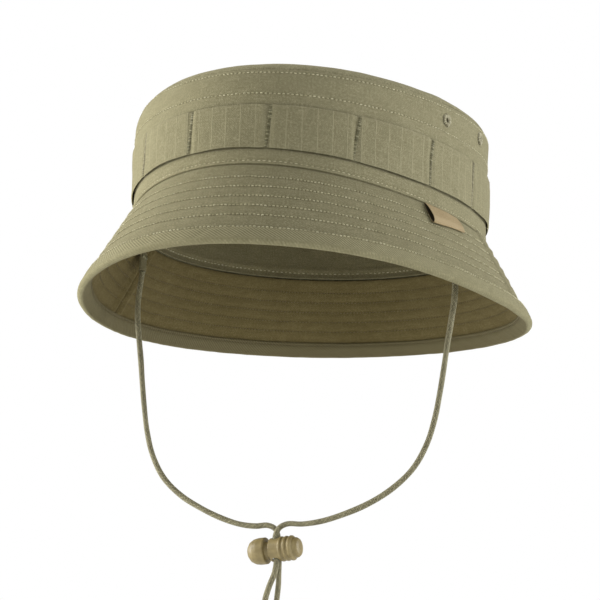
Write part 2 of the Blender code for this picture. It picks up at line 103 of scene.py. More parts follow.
def ang(s):
    """Angle at a distance around the crown."""
    s = np.asarray(s, float)
    turns = np.floor((s + AROUND / 2) / AROUND)
    return np.interp(s - turns * AROUND, ARC_S, ARC_A) + turns * TAU


def dist(a):
    """Distance around the crown at an angle."""
    a = np.asarray(a, float)
    turns = np.floor((a + math.pi) / TAU)
    return np.interp(a - turns * TAU, ARC_A, ARC_S) + turns * AROUND


def outward(a):
    v = np.stack([np.sin(a) / HALF_WIDTH, -np.cos(a) / HALF_LENGTH, np.zeros_like(a)], -1)
    return v / np.linalg.norm(v, axis=-1, keepdims=True)


def seam_z(a):
    return SEAM_DIP * np.cos(2 * a) + SEAM_SKEW * np.cos(a) ** 3


def top_z(a):
    front = (1 + np.cos(a)) / 2
    return TOP_REAR * (1 - front) + TOP_FRONT * front + TOP_SAG * np.cos(2 * a)


def share_at(a, z):
    return (z - seam_z(a)) / (top_z(a) - seam_z(a))


def slope(a):
    front, ends, left, quarters = BRIM_DROP
    return (BRIM_SLOPE + front * np.cos(a) + ends * np.cos(2 * a)
            + left * np.sin(a) + quarters * np.sin(2 * a))


def brim_length(a):
    away = np.arctan2(np.sin(a - NIP_AT), np.cos(a - NIP_AT)) / NIP_SPAN
    return (BRIM_LENGTH + BRIM_EXTRA * np.cos(a) + BRIM_ENDS * np.cos(2 * a)
            - BRIM_NIP * np.exp(-away * away))


def lattice(u, v, nu, nv, seed):
    """Smooth noise from -1 to 1; u runs once around the hat, v from 0 to 1."""
    grid = np.random.RandomState(seed).uniform(-1, 1, (nu, nv + 2))
    u, v = np.broadcast_arrays(np.asarray(u, float), np.asarray(v, float))
    x, y = (u % 1.0) * nu, np.clip(v, 0, 1) * nv
    i, j = np.floor(x).astype(int) % nu, np.floor(y).astype(int)
    fx, fy = x - np.floor(x), y - np.floor(y)
    fx, fy = fx * fx * (3 - 2 * fx), fy * fy * (3 - 2 * fy)
    i2 = (i + 1) % nu
    return ((grid[i, j] * (1 - fx) + grid[i2, j] * fx) * (1 - fy)
            + (grid[i, j + 1] * (1 - fx) + grid[i2, j + 1] * fx) * fy)


def step(x, lo, hi):
    t = np.clip((x - lo) / (hi - lo), 0, 1)
    return t * t * (3 - 2 * t)


def bell(x, width):
    return np.exp(-(x / width) ** 2)


# ---------------------------------------------- soft unevenness of the cloth
def crown_soft(s, share):
    """How far the crown's cloth stands off its even shape."""
    u = np.asarray(s) / AROUND
    free = np.clip(np.sin(math.pi * np.clip(share, 0, 1)), 0, 1) ** 0.6
    return free * (0.00045 * lattice(u, share, 13, 3, 11)
                   + 0.00020 * lattice(u, share, 41, 6, 12))


def crown_pucker(s, share):
    """Cloth drawn in along the crown's rows of stitching, in metres."""
    a = ang(s)
    tall = top_z(a) - seam_z(a)
    u = np.asarray(s) / AROUND
    out = 0.0
    for k, row in enumerate(CROWN_ROWS):
        d = (share - row) * tall
        gather = lattice(u + 0.001 * k, share * 3 % 1, CROWN_STITCHES // 2 * 2, 5, 21 + k)
        out = out - 0.00013 * bell(d, 0.0006) + 0.00010 * bell(d, 0.0022)
        out = out + 0.00010 * gather * bell(d, 0.0020)
    return out


def brim_soft(s, t):
    """Waviness of the brim, growing towards its edge."""
    u = np.asarray(s) / AROUND
    return (0.00050 * lattice(u, t, 9, 1, 31) * np.clip(t, 0, 1) ** 1.5
            + 0.00015 * lattice(u, t, 37, 3, 32) * np.clip(t, 0, 1))


def row_place(t):
    """Distance from the nearest stitch row of the brim in steps, and its number."""
    k = np.clip(np.round((t - BRIM_ROW_0) / BRIM_ROW_STEP), 0, BRIM_ROW_COUNT - 1)
    return (t - BRIM_ROW_0) / BRIM_ROW_STEP - k, k


def brim_quilt(s, t, seed=41):
    """Ridges between the brim's rows, and the cloth drawn in along them."""
    a = ang(s)
    u = np.asarray(s) / AROUND
    off, k = row_place(t)
    d = off * BRIM_ROW_STEP * brim_length(a)
    inside = step(t, BRIM_ROW_0 - 0.09, BRIM_ROW_0) * (1 - step(t, 0.69, 0.78))
    ridge = 0.00012 * (0.5 - 0.5 * np.cos(TAU * np.clip(np.abs(off), 0, 0.5))) * 2 * inside
    groove = -0.00008 * bell(d, 0.00050)
    drag = 0.00011 * lattice(u + 0.0007 * k, t, 150, 22, seed)
    drag = drag + 0.00006 * lattice(u, t, 300, 30, seed + 1)
    edge = step(t, 0.0, 0.05)
    return (ridge + groove + drag) * edge


def shoulder(a):
    """How far the shoulder turns inwards and how tall it is."""
    inwards = SHOULDER_IN - SHOULDER_SKEW * np.sin(a)
    return inwards, inwards * SHOULDER_TALL


def turned_in(a, z):
    """How far the shoulder has turned inwards at a height."""
    inwards, tall = shoulder(a)
    rise = np.clip((z - top_z(a) - SHOULDER_RISE + tall) / tall, 0, 1)
    return inwards * (1 - np.sqrt(1 - rise * rise))


def wall(s, share, off):
    """A point of the crown wall, a share of its height up and off its face."""
    a = ang(s)
    a, share, off = np.broadcast_arrays(a, share, off)
    k = 1 + WALL_FLARE * share - WALL_WAIST * share * (1 - share)
    z = seam_z(a) * (1 - share) + top_z(a) * share
    p = np.stack([HALF_WIDTH * k * np.sin(a), -HALF_LENGTH * k * np.cos(a), z], -1)
    return p + outward(a) * (off - turned_in(a, z) + crown_soft(s, share))[..., None]


def brim(s, t, off, extra=0.0):
    """A point of the brim: a share t of its length down the slope (plus extra
    metres), and off its top face."""
    a = ang(s)
    a, t, off, extra = np.broadcast_arrays(a, t, off, extra)
    sl, n = slope(a), outward(a)
    up_z = np.zeros_like(n)
    up_z[..., 2] = 1
    down = n * np.cos(sl)[..., None] - up_z * np.sin(sl)[..., None]
    up = n * np.sin(sl)[..., None] + up_z * np.cos(sl)[..., None]
    p = np.stack([HALF_WIDTH * np.sin(a), -HALF_LENGTH * np.cos(a), seam_z(a)], -1)
    along = t * brim_length(a) + extra
    return p + down * along[..., None] + up * (off + brim_soft(s, t))[..., None]


# ------------------------------------------------------------- mesh building
def object_from(name, verts, faces, sharp=40.0):
    mesh = bpy.data.meshes.new(name)
    mesh.from_pydata(np.asarray(verts, float).reshape(-1, 3).tolist(), [], faces)
    mesh.update()
    mesh.shade_smooth()
    if sharp:
        mesh.set_sharp_from_angle(angle=math.radians(sharp))
    obj = bpy.data.objects.new(name, mesh)
    bpy.context.scene.collection.objects.link(obj)
    return obj


def volume(verts, quads):
    v = np.asarray(verts, float).reshape(-1, 3)
    q = np.asarray(quads)
    a, b, c, d = (v[q[:, i]] for i in range(4))
    return (np.einsum("ij,ij->i", a, np.cross(b, c)).sum()
            + np.einsum("ij,ij->i", a, np.cross(c, d)).sum()) / 6


def loft(name, P, uv=None, rows=None, closed=True, attrs=None, sharp=40.0):
    """A solid swept through closed sections. P is (sections, points, 3); when
    closed, the last section repeats the first. uv and rows are (sections,
    points, 2) coordinates, in metres and in (turn, share)."""
    total, m = P.shape[:2]
    na = total - 1 if closed else total
    spans = total - 1
    I, J = np.meshgrid(np.arange(spans), np.arange(m), indexing="ij")
    I2 = (I + 1) % na
    J2 = (J + 1) % m
    quads = np.stack([I * m + J, I2 * m + J, I2 * m + J2, I * m + J2], -1).reshape(-1, 4)
    verts = P[:na].reshape(-1, 3)
    corner_i = np.stack([I, I + 1, I + 1, I], -1).reshape(-1, 4)
    corner_j = np.stack([J, J, np.minimum(J + 1, m - 1), np.minimum(J + 1, m - 1)],
                        -1).reshape(-1, 4)
    if volume(verts, quads) < 0:
        quads, corner_i, corner_j = quads[:, ::-1], corner_i[:, ::-1], corner_j[:, ::-1]
        flipped = True
    else:
        flipped = False
    faces = quads.tolist()
    if not closed:
        first, last = list(range(m)), list(range((na - 1) * m, na * m))
        # the caps face the other way along the sweep
        faces.append(first if not flipped else first[::-1])
        faces.append(last[::-1] if not flipped else last)
    obj = object_from(name, verts, faces, sharp)
    mesh = obj.data
    for title, grid in (("UVMap", uv), ("Rows", rows)):
        if grid is None:
            continue
        layer = mesh.uv_layers.new(name=title)
        flat = grid[corner_i, corner_j].reshape(-1, 2)
        if not closed:
            caps = np.concatenate([grid[0] if not flipped else grid[0][::-1],
                                   grid[-1][::-1] if not flipped else grid[-1]])
            flat = np.concatenate([flat, caps])
        layer.data.foreach_set("uv", np.ascontiguousarray(flat, np.float32).ravel())
    for title, values in (attrs or {}).items():
        at = mesh.attributes.new(title, "FLOAT", "POINT")
        at.data.foreach_set("value", np.ascontiguousarray(
            np.broadcast_to(values, P.shape[:2])[:na], np.float32).ravel())
    return obj


def threads(name, C, Nrm, radius, sides=6, closed=False):
    """Many short threads as one piece. C is (threads, stations, 3), Nrm their
    surface normals, radius one number a station."""
    n, r = C.shape[:2]
    tan = np.gradient(C, axis=1)
    tan /= np.linalg.norm(tan, axis=-1, keepdims=True)
    side = np.cross(tan, Nrm)
    side /= np.linalg.norm(side, axis=-1, keepdims=True)
    up = np.cross(side, tan)
    phi = np.arange(sides) * TAU / sides
    rad = np.broadcast_to(radius, (n, r))[:, :, None, None]
    pts = (C[:, :, None, :] + rad * (np.cos(phi)[None, None, :, None] * up[:, :, None, :]
                                     + np.sin(phi)[None, None, :, None] * side[:, :, None, :]))
    base = (np.arange(n) * r * sides)[:, None, None]
    I, J = np.meshgrid(np.arange(r - 1), np.arange(sides), indexing="ij")
    J2 = (J + 1) % sides
    quad = np.stack([I * sides + J, (I + 1) * sides + J, (I + 1) * sides + J2,
                     I * sides + J2], -1).reshape(-1, 4)
    first = (np.arange(sides)[::-1])
    last = (r - 1) * sides + np.arange(sides)
    if volume(pts[0], quad) < 0:
        quad, first, last = quad[:, ::-1], first[::-1], last[::-1]
    quads = (quad[None] + base).reshape(-1, 4)
    caps = np.concatenate([(first[None] + base[:, 0]), (last[None] + base[:, 0])])
    faces = quads.tolist() + caps.tolist()
    obj = object_from(name, pts, faces, 0)
    at = obj.data.attributes.new("along", "FLOAT", "POINT")
    along = np.broadcast_to(np.linspace(0, 1, r)[None, :, None], (n, r, sides))
    at.data.foreach_set("value", np.ascontiguousarray(along, np.float32).ravel())
    at = obj.data.attributes.new("tone", "FLOAT", "POINT")
    tone = np.random.RandomState(n).uniform(0, 1, n)
    at.data.foreach_set("value", np.ascontiguousarray(
        np.broadcast_to(tone[:, None, None], (n, r, sides)), np.float32).ravel())
    return obj


# ----------------------------------------------------------------- materials
def lin(r, g, b):
    """Linear colour from screen values of 0 to 255."""
    return tuple(((c / 255 + 0.055) / 1.055) ** 2.4 if c > 10.3 else c / 255 / 12.92
                 for c in (r, g, b))


class Nodes:
    """Short names for building a material's nodes."""

    def __init__(self, name, roughness=0.9):
        self.mat = bpy.data.materials.new(name)
        self.mat.use_nodes = True
        self.tree = self.mat.node_tree
        self.shader = self.tree.nodes["Principled BSDF"]
        self.shader.inputs["Roughness"].default_value = roughness

    def new(self, kind, **props):
        node = self.tree.nodes.new(kind)
        for key, value in props.items():
            setattr(node, key, value)
        return node

    def put(self, socket, value):
        if isinstance(value, bpy.types.NodeSocket):
            self.tree.links.new(value, socket)
        elif isinstance(value, tuple) and len(value) == 3 and socket.type == "RGBA":
            socket.default_value = (*value, 1.0)
        else:
            socket.default_value = value

    def math(self, op, a, b=0.0, c=0.0, clamp=False):
        node = self.new("ShaderNodeMath", operation=op, use_clamp=clamp)
        for socket, value in zip(node.inputs, (a, b, c)):
            self.put(socket, value)
        return node.outputs[0]

    def add(self, a, b):
        return self.math("ADD", a, b)

    def mul(self, a, b):
        return self.math("MULTIPLY", a, b)

    def ramp(self, value, lo, hi, a=0.0, b=1.0):
        """value from lo..hi to a..b, smoothly and held at both ends."""
        node = self.new("ShaderNodeMapRange", interpolation_type="SMOOTHSTEP")
        for socket, v in zip(node.inputs, (value, lo, hi, a, b)):
            self.put(socket, v)
        return node.outputs[0]

    def mix(self, factor, a, b, blend="MIX"):
        node = self.new("ShaderNodeMix", data_type="RGBA", blend_type=blend)
        node.clamp_factor = True
        self.put(node.inputs[0], factor)
        self.put(node.inputs[6], a)
        self.put(node.inputs[7], b)
        return node.outputs[2]

    def vec(self, x, y, z=0.0):
        node = self.new("ShaderNodeCombineXYZ")
        for socket, value in zip(node.inputs, (x, y, z)):
            self.put(socket, value)
        return node.outputs[0]

    def noise(self, vector, scale=1.0, detail=2.0, rough=0.5):
        node = self.new("ShaderNodeTexNoise")
        self.put(node.inputs["Vector"], vector)
        self.put(node.inputs["Scale"], scale)
        self.put(node.inputs["Detail"], detail)
        self.put(node.inputs["Roughness"], rough)
        return node.outputs["Fac"]

    def uv(self, name):
        node = self.new("ShaderNodeUVMap", uv_map=name)
        split = self.new("ShaderNodeSeparateXYZ")
        self.put(split.inputs[0], node.outputs[0])
        return split.outputs[0], split.outputs[1]

    def place(self):
        return self.new("ShaderNodeTexCoord").outputs["Object"]

    def attribute(self, name):
        return self.new("ShaderNodeAttribute", attribute_name=name).outputs["Fac"]

    def bump(self, height, distance, strength=1.0, under=None):
        node = self.new("ShaderNodeBump")
        node.inputs["Strength"].default_value = strength
        node.inputs["Distance"].default_value = distance
        self.put(node.inputs["Height"], height)
        if under is not None:
            self.put(node.inputs["Normal"], under)
        return node.outputs[0]

    def set(self, name, value):
        self.put(self.shader.inputs[name], value)


def cloth(name, base, pale, dark, pitch=0.00058, weave="plain", ripstop=0.0, rip_step=0.0072,
          rip_level=0.0, hatch=0.0, pits=0.26,
          heather=0.42, mottle=0.18, relief=0.00010, rows=(), row_uv=False,
          sheen=0.18, fade=0.0, roughness=0.93, slub=0.35):
    """Woven cloth. rows are (share, stitches, phase, half width in share) of the
    sewing, where the needle has left holes and pulled the cloth in; painted shadow
    lies in the holes and painted shade along the groove."""
    base, pale, dark = (tuple(c * TONE for c in k) for k in (base, pale, dark))
    n = Nodes(name, roughness)
    u, v = n.uv("UVMap")
    x, y = n.mul(u, TAU / pitch / 2), n.mul(v, TAU / pitch / 2)
    # each thread wanders a little from a straight line
    wander = n.noise(n.vec(n.mul(u, 300.0), n.mul(v, 300.0)), 1.0, 1.0)
    wander = n.mul(n.add(wander, -0.5), 2.4)
    x, y = n.add(x, wander), n.add(y, wander)
    if weave == "plain":
        over = n.mul(n.math("SINE", x), n.math("SINE", y))
        over = n.add(n.mul(over, 0.5), 0.5)
    else:                                     # ribs of a twill
        sign = 1.0 if weave == "twill" else -1.0
        over = n.math("SINE", n.add(n.mul(x, 1.5), n.mul(y, 1.5 * sign)))
        over = n.add(n.mul(over, 0.5), 0.5)
    # round the rim the threads pack together and read as one tone
    packed = n.mul(n.attribute("rim"), 0.70)
    over = n.add(over, n.mul(packed, n.add(0.5, n.mul(over, -1.0))))
    # thick and thin places along the threads, both ways
    warp = n.noise(n.vec(n.mul(u, 1900.0), n.mul(v, 130.0)), 1.0, 1.0, 0.6)
    weft = n.noise(n.vec(n.mul(u, 130.0), n.mul(v, 1900.0), 3.7), 1.0, 1.0, 0.6)
    grain = n.noise(n.vec(n.mul(u, 1250.0), n.mul(v, 1250.0), 7.1), 1.0, 2.0, 0.8)
    slubs = n.add(n.mul(n.add(warp, weft), 0.5 * slub), n.mul(grain, 1.0 - 0.5 * slub))
    cloudy = n.noise(n.vec(n.mul(u, 55.0), n.mul(v, 55.0), 1.3), 1.0, 3.0, 0.6)
    patchy = n.noise(n.vec(n.mul(u, 240.0), n.mul(v, 240.0), 5.9), 1.0, 2.0, 0.6)
    tone = n.add(n.mul(n.add(slubs, -0.5), heather * 3.7),
                 n.mul(n.add(n.add(n.mul(cloudy, 0.5), n.mul(patchy, 0.5)), -0.5), mottle * 2.0))
    tone = n.add(tone, n.mul(n.add(over, -0.5), heather * 0.55))
    tone = n.add(tone, 0.5)
    colour = n.mix(n.ramp(tone, 0.0, 0.5), dark, base)
    colour = n.mix(n.ramp(tone, 0.5, 1.0), colour, pale)
    if hatch:
        colour = n.mix(n.ramp(over, 0.5, 1.0, 0.0, hatch), colour, pale)
        colour = n.mix(n.ramp(over, 0.0, 0.5, hatch, 0.0), colour, dark)
    height = n.add(n.mul(over, 0.5), n.mul(slubs, 0.9))
    if ripstop or rip_level:
        lines = None
        for across, along, amount in ((u, v, ripstop), (v, u, rip_level)):
            if not amount:
                continue
            shift = n.noise(n.vec(n.mul(across, 30.0), n.mul(along, 120.0), 2.2), 1.0, 1.0)
            at = n.add(n.mul(across, 1 / rip_step), n.mul(n.add(shift, -0.5), 0.07))
            gap = n.mul(n.math("PINGPONG", at, 0.5), rip_step)
            line = n.ramp(gap, 0.00012, 0.00046, 1.0, 0.0)
            broken = n.noise(n.vec(n.mul(across, 140.0), n.mul(along, 230.0), 9.0), 1.0, 2.0, 0.7)
            line = n.mul(n.mul(line, n.ramp(broken, 0.30, 0.52, 0.25, 1.0)), amount)
            lines = line if lines is None else n.math("MAXIMUM", lines, line)
        colour = n.mix(lines, colour, pale)
        height = n.add(height, n.mul(lines, 1.6))
    if row_uv:
        turn, share = n.uv("Rows")
        holes = groove_shade = None
        for at, count, phase, half in rows:
            near = n.ramp(n.math("ABSOLUTE", n.add(share, -at)), half * 0.35, half, 1.0, 0.0)
            beat = n.math("PINGPONG", n.add(n.mul(turn, float(count)), phase), 0.5)
            hole = n.mul(near, n.ramp(beat, 0.05, 0.20, 1.0, 0.0))
            holes = hole if holes is None else n.math("MAXIMUM", holes, hole)
            low = n.ramp(n.math("ABSOLUTE", n.add(share, -at)), 0.0, half * 2.2, 1.0, 0.0)
            groove_shade = low if groove_shade is None else n.math("MAXIMUM", groove_shade, low)
        # painted shade along the stitch grooves, and painted shadow in the needle holes
        colour = n.mix(n.mul(groove_shade, 0.16 * pits), colour, dark)
        colour = n.mix(n.mul(holes, pits), colour, tuple(c * 0.22 for c in dark))
        height = n.add(height, n.mul(holes, -2.2 * pits))
    # paler where the cloth is rubbed, and painted highlight where ridges, folds and edges catch the light
    wear = n.attribute("wear")
    colour = n.mix(n.mul(wear, 0.55), colour, pale)
    # painted shade: darker in seams, grooves and recesses, under the band's edges, and on inner faces and
    # undersides
    shade = n.attribute("shade")
    colour = n.mix(n.mul(shade, 0.60), colour, tuple(c * 0.35 for c in dark))
    # painted bounce light: a warm brown cast on undersides, as if lit by warm light thrown up from below
    colour = n.mix(n.mul(n.attribute("warm"), 0.56), colour, tuple(c * TONE for c in lin(96, 84, 50)))
    # painted shadow: near black inside a fold where little light reaches
    colour = n.mix(n.attribute("ink"), colour, lin(26, 23, 16))
    n.set("Base Color", colour)
    n.set("Roughness", n.ramp(tone, 0.0, 1.0, roughness + 0.04, roughness - 0.08))
    n.set("Normal", n.bump(height, relief, 1.0))
    n.set("Sheen Weight", sheen)
    n.set("Sheen Roughness", 0.45)
    n.set("Sheen Tint", (*tuple(min(1.0, c * 2.2) for c in pale), 1.0))
    n.set("Specular IOR Level", 0.25)
    return n.mat


def thread_stuff(name, base, pale, dark, twist=9.0, end_shade=0.5):
    """Sewing thread: plies twisted round each other, each stitch its own tone."""
    n = Nodes(name, 0.62)
    p = n.place()
    tone = n.attribute("tone")
    along = n.attribute("along")
    fine = n.noise(p, 2600.0, 2.0, 0.6)
    ply = n.math("SINE", n.add(n.mul(along, twist * 2), n.mul(fine, 3.0)))
    value = n.add(n.mul(tone, 0.55), n.mul(fine, 0.45))
    patch = n.noise(p, 75.0, 2.0, 0.5)
    colour = n.mix(n.ramp(value, 0.15, 0.55), dark, base)
    colour = n.mix(n.ramp(value, 0.50, 0.95), colour, pale)
    # painted shade in the grooves between the plies
    colour = n.mix(n.ramp(ply, -1.0, 0.2, 0.35, 0.0), colour, dark)
    # stretches where the thread is grubbier, and painted shade where it sits lower
    colour = n.mix(n.ramp(patch, 0.36, 0.56, 0.30, 0.0), colour, tuple(c * 0.72 for c in dark))
    # the ends of a stitch sit down in the needle's hole: painted shadow there
    ends = n.ramp(n.math("ABSOLUTE", n.add(along, -0.5)), 0.38, 0.5)
    colour = n.mix(n.mul(ends, end_shade), colour, tuple(c * 0.3 for c in dark))
    n.set("Base Color", colour)
    n.set("Roughness", n.ramp(fine, 0.3, 0.7, 0.52, 0.72))
    n.set("Normal", n.bump(n.add(n.mul(ply, 0.5), fine), 0.00006))
    n.set("Sheen Weight", 0.1)
    return n.mat


def plastic(name, base, pale, dark):
    """Moulded nylon with a fine spark-eroded grain and handling wear."""
    n = Nodes(name, 0.42)
    p = n.place()
    cloudy = n.noise(p, 260.0, 3.0, 0.6)
    grain = n.noise(p, 5200.0, 2.0, 0.5)
    scuff = n.noise(p, 900.0, 4.0, 0.75)
    colour = n.mix(n.ramp(cloudy, 0.3, 0.7), dark, base)
    colour = n.mix(n.ramp(scuff, 0.58, 0.80, 0.0, 0.55), colour, pale)
    n.set("Base Color", colour)
    n.set("Roughness", n.ramp(n.add(n.mul(grain, 0.4), n.mul(scuff, 0.6)), 0.3, 0.75, 0.34, 0.58))
    n.set("Normal", n.bump(n.add(grain, n.mul(scuff, 0.5)), 0.00003, 0.7))
    n.set("Specular IOR Level", 0.5)
    n.set("Coat Weight", 0.06)
    return n.mat


def wire(name):
    """Drawn spring steel."""
    n = Nodes(name, 0.3)
    p = n.place()
    drawn = n.noise(p, 3000.0, 3.0, 0.6)
    colour = n.mix(n.ramp(drawn, 0.3, 0.7), (0.42, 0.41, 0.39), (0.62, 0.61, 0.59))
    n.set("Base Color", colour)
    n.set("Metallic", 1.0)
    n.set("Roughness", n.ramp(drawn, 0.3, 0.7, 0.24, 0.40))
    n.set("Normal", n.bump(drawn, 0.00002, 0.5))
    return n.mat


TONE = 0.78
OLIVE = lin(141, 135, 103)
OLIVE_PALE = lin(176, 170, 136)
OLIVE_DARK = lin(104, 98, 70)
# the olive cloth again for the brim's underside, darker and browner: painted shade and painted warm
# bounce light
UNDER_SHADED = lin(104, 92, 54)
UNDER_SHADED_PALE = lin(129, 116, 76)
UNDER_SHADED_DARK = lin(77, 66, 35)
THREAD = lin(207, 201, 163)
THREAD_PALE = lin(232, 227, 194)
THREAD_DARK = lin(160, 153, 116)

brim_rows = tuple((BRIM_ROW_0 + BRIM_ROW_STEP * k, BRIM_STITCHES, 0.37 * k, 0.0105)
                  for k in range(BRIM_ROW_COUNT))
M_CROWN = cloth("crown_ripstop", OLIVE, OLIVE_PALE, OLIVE_DARK, ripstop=0.12,
                row_uv=True, rows=((CROWN_ROWS[0], CROWN_STITCHES, 0.0, 0.0095),
                                   (CROWN_ROWS[1], CROWN_STITCHES, 0.5, 0.0095)))
M_TIP = cloth("tip_ripstop", OLIVE, OLIVE_PALE, OLIVE_DARK, ripstop=0.35, rip_level=0.35)
M_BAND = cloth("band_ripstop", OLIVE, OLIVE_PALE, OLIVE_DARK, ripstop=0.55)
# the olive cloth a little darker on the brim: painted shade for its slope away from the light
M_BRIM_SHADED = cloth("brim_cloth", lin(134, 128, 97), lin(168, 162, 129), lin(98, 92, 65),
               row_uv=True, rows=brim_rows, pits=0.34,
               ripstop=0.12)
M_UNDER_SHADED = cloth("under_cloth_painted_shade", UNDER_SHADED, UNDER_SHADED_PALE, UNDER_SHADED_DARK, row_uv=True, rows=brim_rows,
                pits=0.15, mottle=0.34)
M_BINDING = cloth("binding_bias", lin(142, 136, 103), lin(179, 173, 137), lin(102, 96, 68),
                  pitch=0.00104, weave="back", relief=0.00015, heather=0.30, hatch=0.58, row_uv=True,
                  rows=((BINDING_ROW, BINDING_STITCHES, 0.25, 0.0105),))
M_SWEAT = cloth("sweatband_drill", lin(128, 121, 89), lin(160, 152, 118), lin(94, 87, 60),
                pitch=0.00075, weave="back", relief=0.00012)
M_TAPE = cloth("facing_tape", lin(134, 128, 96), lin(166, 160, 126), lin(100, 94, 66),
               pitch=0.00070, weave="twill")
M_LINING = cloth("interlining", lin(150, 145, 122), lin(180, 176, 154), lin(118, 112, 90),
                 pitch=0.0010)
M_TAG = cloth("tag_ribbon", lin(170, 149, 110), lin(199, 180, 142), lin(132, 112, 78),
              pitch=0.00052, relief=0.00010, heather=0.30, mottle=0.22, sheen=0.08,
              roughness=0.72)
M_TAB = cloth("tab_twill", lin(120, 113, 82), lin(152, 145, 112), lin(88, 81, 54),
              pitch=0.00070, weave="twill", relief=0.00014)
M_THREAD = thread_stuff("olive_thread", THREAD, THREAD_PALE, THREAD_DARK)
# one bartack thread in two copies: a darker one with painted shade, and a paler one with painted light
M_TACK_SHADED = thread_stuff("bartack_thread", lin(133, 128, 90), lin(212, 208, 172), lin(72, 68, 38))
M_TACK_LIT = thread_stuff("bartack_thread_painted_light", lin(152, 146, 113), lin(206, 200, 168),
                           lin(112, 104, 76), end_shade=0.20)
M_EYELET = thread_stuff("eyelet_thread", lin(176, 170, 138), lin(218, 213, 182), lin(126, 119, 90),
                        end_shade=0.35)
# the sewing thread again, darker and browner for the underside: painted shade and painted warm bounce
# light
M_UNDER_THREAD_SHADED = thread_stuff("under_thread_painted_shade", lin(110, 96, 60), lin(128, 113, 76),
                              lin(88, 75, 44))
M_PLASTIC = plastic("olive_nylon", lin(150, 134, 90), lin(184, 168, 124), lin(130, 115, 74))
M_WIRE = wire("spring_steel")


def dress(obj, mat, body, slot, *nodes):
    """Gives a piece its material and its body, and hides the nodes it stands for; slot is not used."""
    obj.data.materials.clear()
    obj.data.materials.append(mat)
    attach(obj, body)
    if nodes:
        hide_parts(*nodes)
    return obj


# -------------------------------------------------------------------- camera
YAW, PITCH, ROLL = 0.412091, -0.228426, 0.038098
right = Vector((math.cos(YAW), math.sin(YAW), 0))
back = Vector((math.sin(YAW) * math.cos(PITCH), -math.cos(YAW) * math.cos(PITCH),
               math.sin(PITCH)))
up = back.cross(right)
right, up = (right * math.cos(ROLL) + up * math.sin(ROLL),
             -right * math.sin(ROLL) + up * math.cos(ROLL))
lens = bpy.data.cameras.new("camera")
lens.sensor_fit = "HORIZONTAL"
lens.sensor_width = 36.0
lens.lens = 36.0 * 2474.325 / 600.0
lens.clip_start, lens.clip_end = 0.01, 50.0
camera = bpy.data.objects.new("camera", lens)
camera.matrix_world = Matrix(((right.x, up.x, back.x, 0.48058487),
                              (right.y, up.y, back.y, -1.10964507),
                              (right.z, up.z, back.z, -0.31617660),
                              (0, 0, 0, 1)))
bpy.context.scene.collection.objects.link(camera)
bpy.context.scene.camera = camera

# --------------------------------------------------------------- chin strap
HOLE_UP = Vector((-math.sin(LOCK_TILT), 0, math.cos(LOCK_TILT)))


def in_hole(rise):
    p = LOCK + HOLE_UP * rise
    return (p.x * 1000, p.z * 1000)


CORD_START = ANCHOR_LOW - GAP
# x and z in millimetres, the same route as the CAD cord
SIDE_RUN = ((ANCHOR_X * 1000, CORD_START * 1000), (84.7, -27.6), (85.4, -35.5), (85.2, -44.4),
            (84.1, -53.4), (82.4, -65.4), (80.9, -77.8), (79.2, -90.1), (77.0, -102.5),
            (73.3, -114.6), (66.8, -125.9), (56.8, -135.1), (44.6, -142.2))
INTO_LEFT = ((31.5, -147.2), (20.3, -150.2), (10.7, -151.3), (2.7, -151.1), (-1.4, -153.0))
INTO_RIGHT = ((-33.7, -147.1), (-23.9, -150.2), (-15.5, -151.3), (-8.8, -151.1), (-4.8, -153.0))
THROUGH = tuple(in_hole(u / 1000) for u in (6.4, 3.0, 0.0, -3.0, -6.4))
TAIL_FRONT = ((-2.9, -174.7), (-5.4, -181.0), (-7.3, -187.6), (-7.4, -193.7), (-6.0, -199.5),
              (-4.2, -205.0), (-3.5, -210.0), (-3.0, -216.5), (-3.2, -221.9), (-5.3, -229.4),
              (-8.4, -236.9), (-9.6, -244.5), (-7.8, -249.8))
LOOP_LOW = (-3.3, -251.9)
TAIL_BACK = ((1.3, -249.9), (3.3, -244.6), (2.3, -236.9), (-0.6, -229.4), (-2.6, -221.9),
             (-3.0, -216.5), (-3.6, -210.0), (-3.8, -203.5), (-3.4, -196.6), (-2.7, -187.6),
             (-2.1, -180.1), (-2.1, -174.7))


def strand(points, y0, y1):
    out = []
    for i, (x, z) in enumerate(points):
        t = i / (len(points) - 1)
        t = t * t * (3 - 2 * t)
        out.append(Vector((x / 1000, y0 + (y1 - y0) * t, z / 1000)))
    return out


FRONT_Y, BACK_Y = CORD_Y - STRAND_OFF, CORD_Y + STRAND_OFF
route = strand(SIDE_RUN, CORD_Y, FRONT_Y)
route += strand(INTO_LEFT + THROUGH + TAIL_FRONT, FRONT_Y, FRONT_Y)
route += [Vector((LOOP_LOW[0] / 1000, CORD_Y, LOOP_LOW[1] / 1000))]
route += strand(TAIL_BACK + THROUGH[::-1] + INTO_RIGHT[::-1], BACK_Y, BACK_Y)
route += strand([(-x, z) for x, z in SIDE_RUN], CORD_Y, BACK_Y)[::-1]


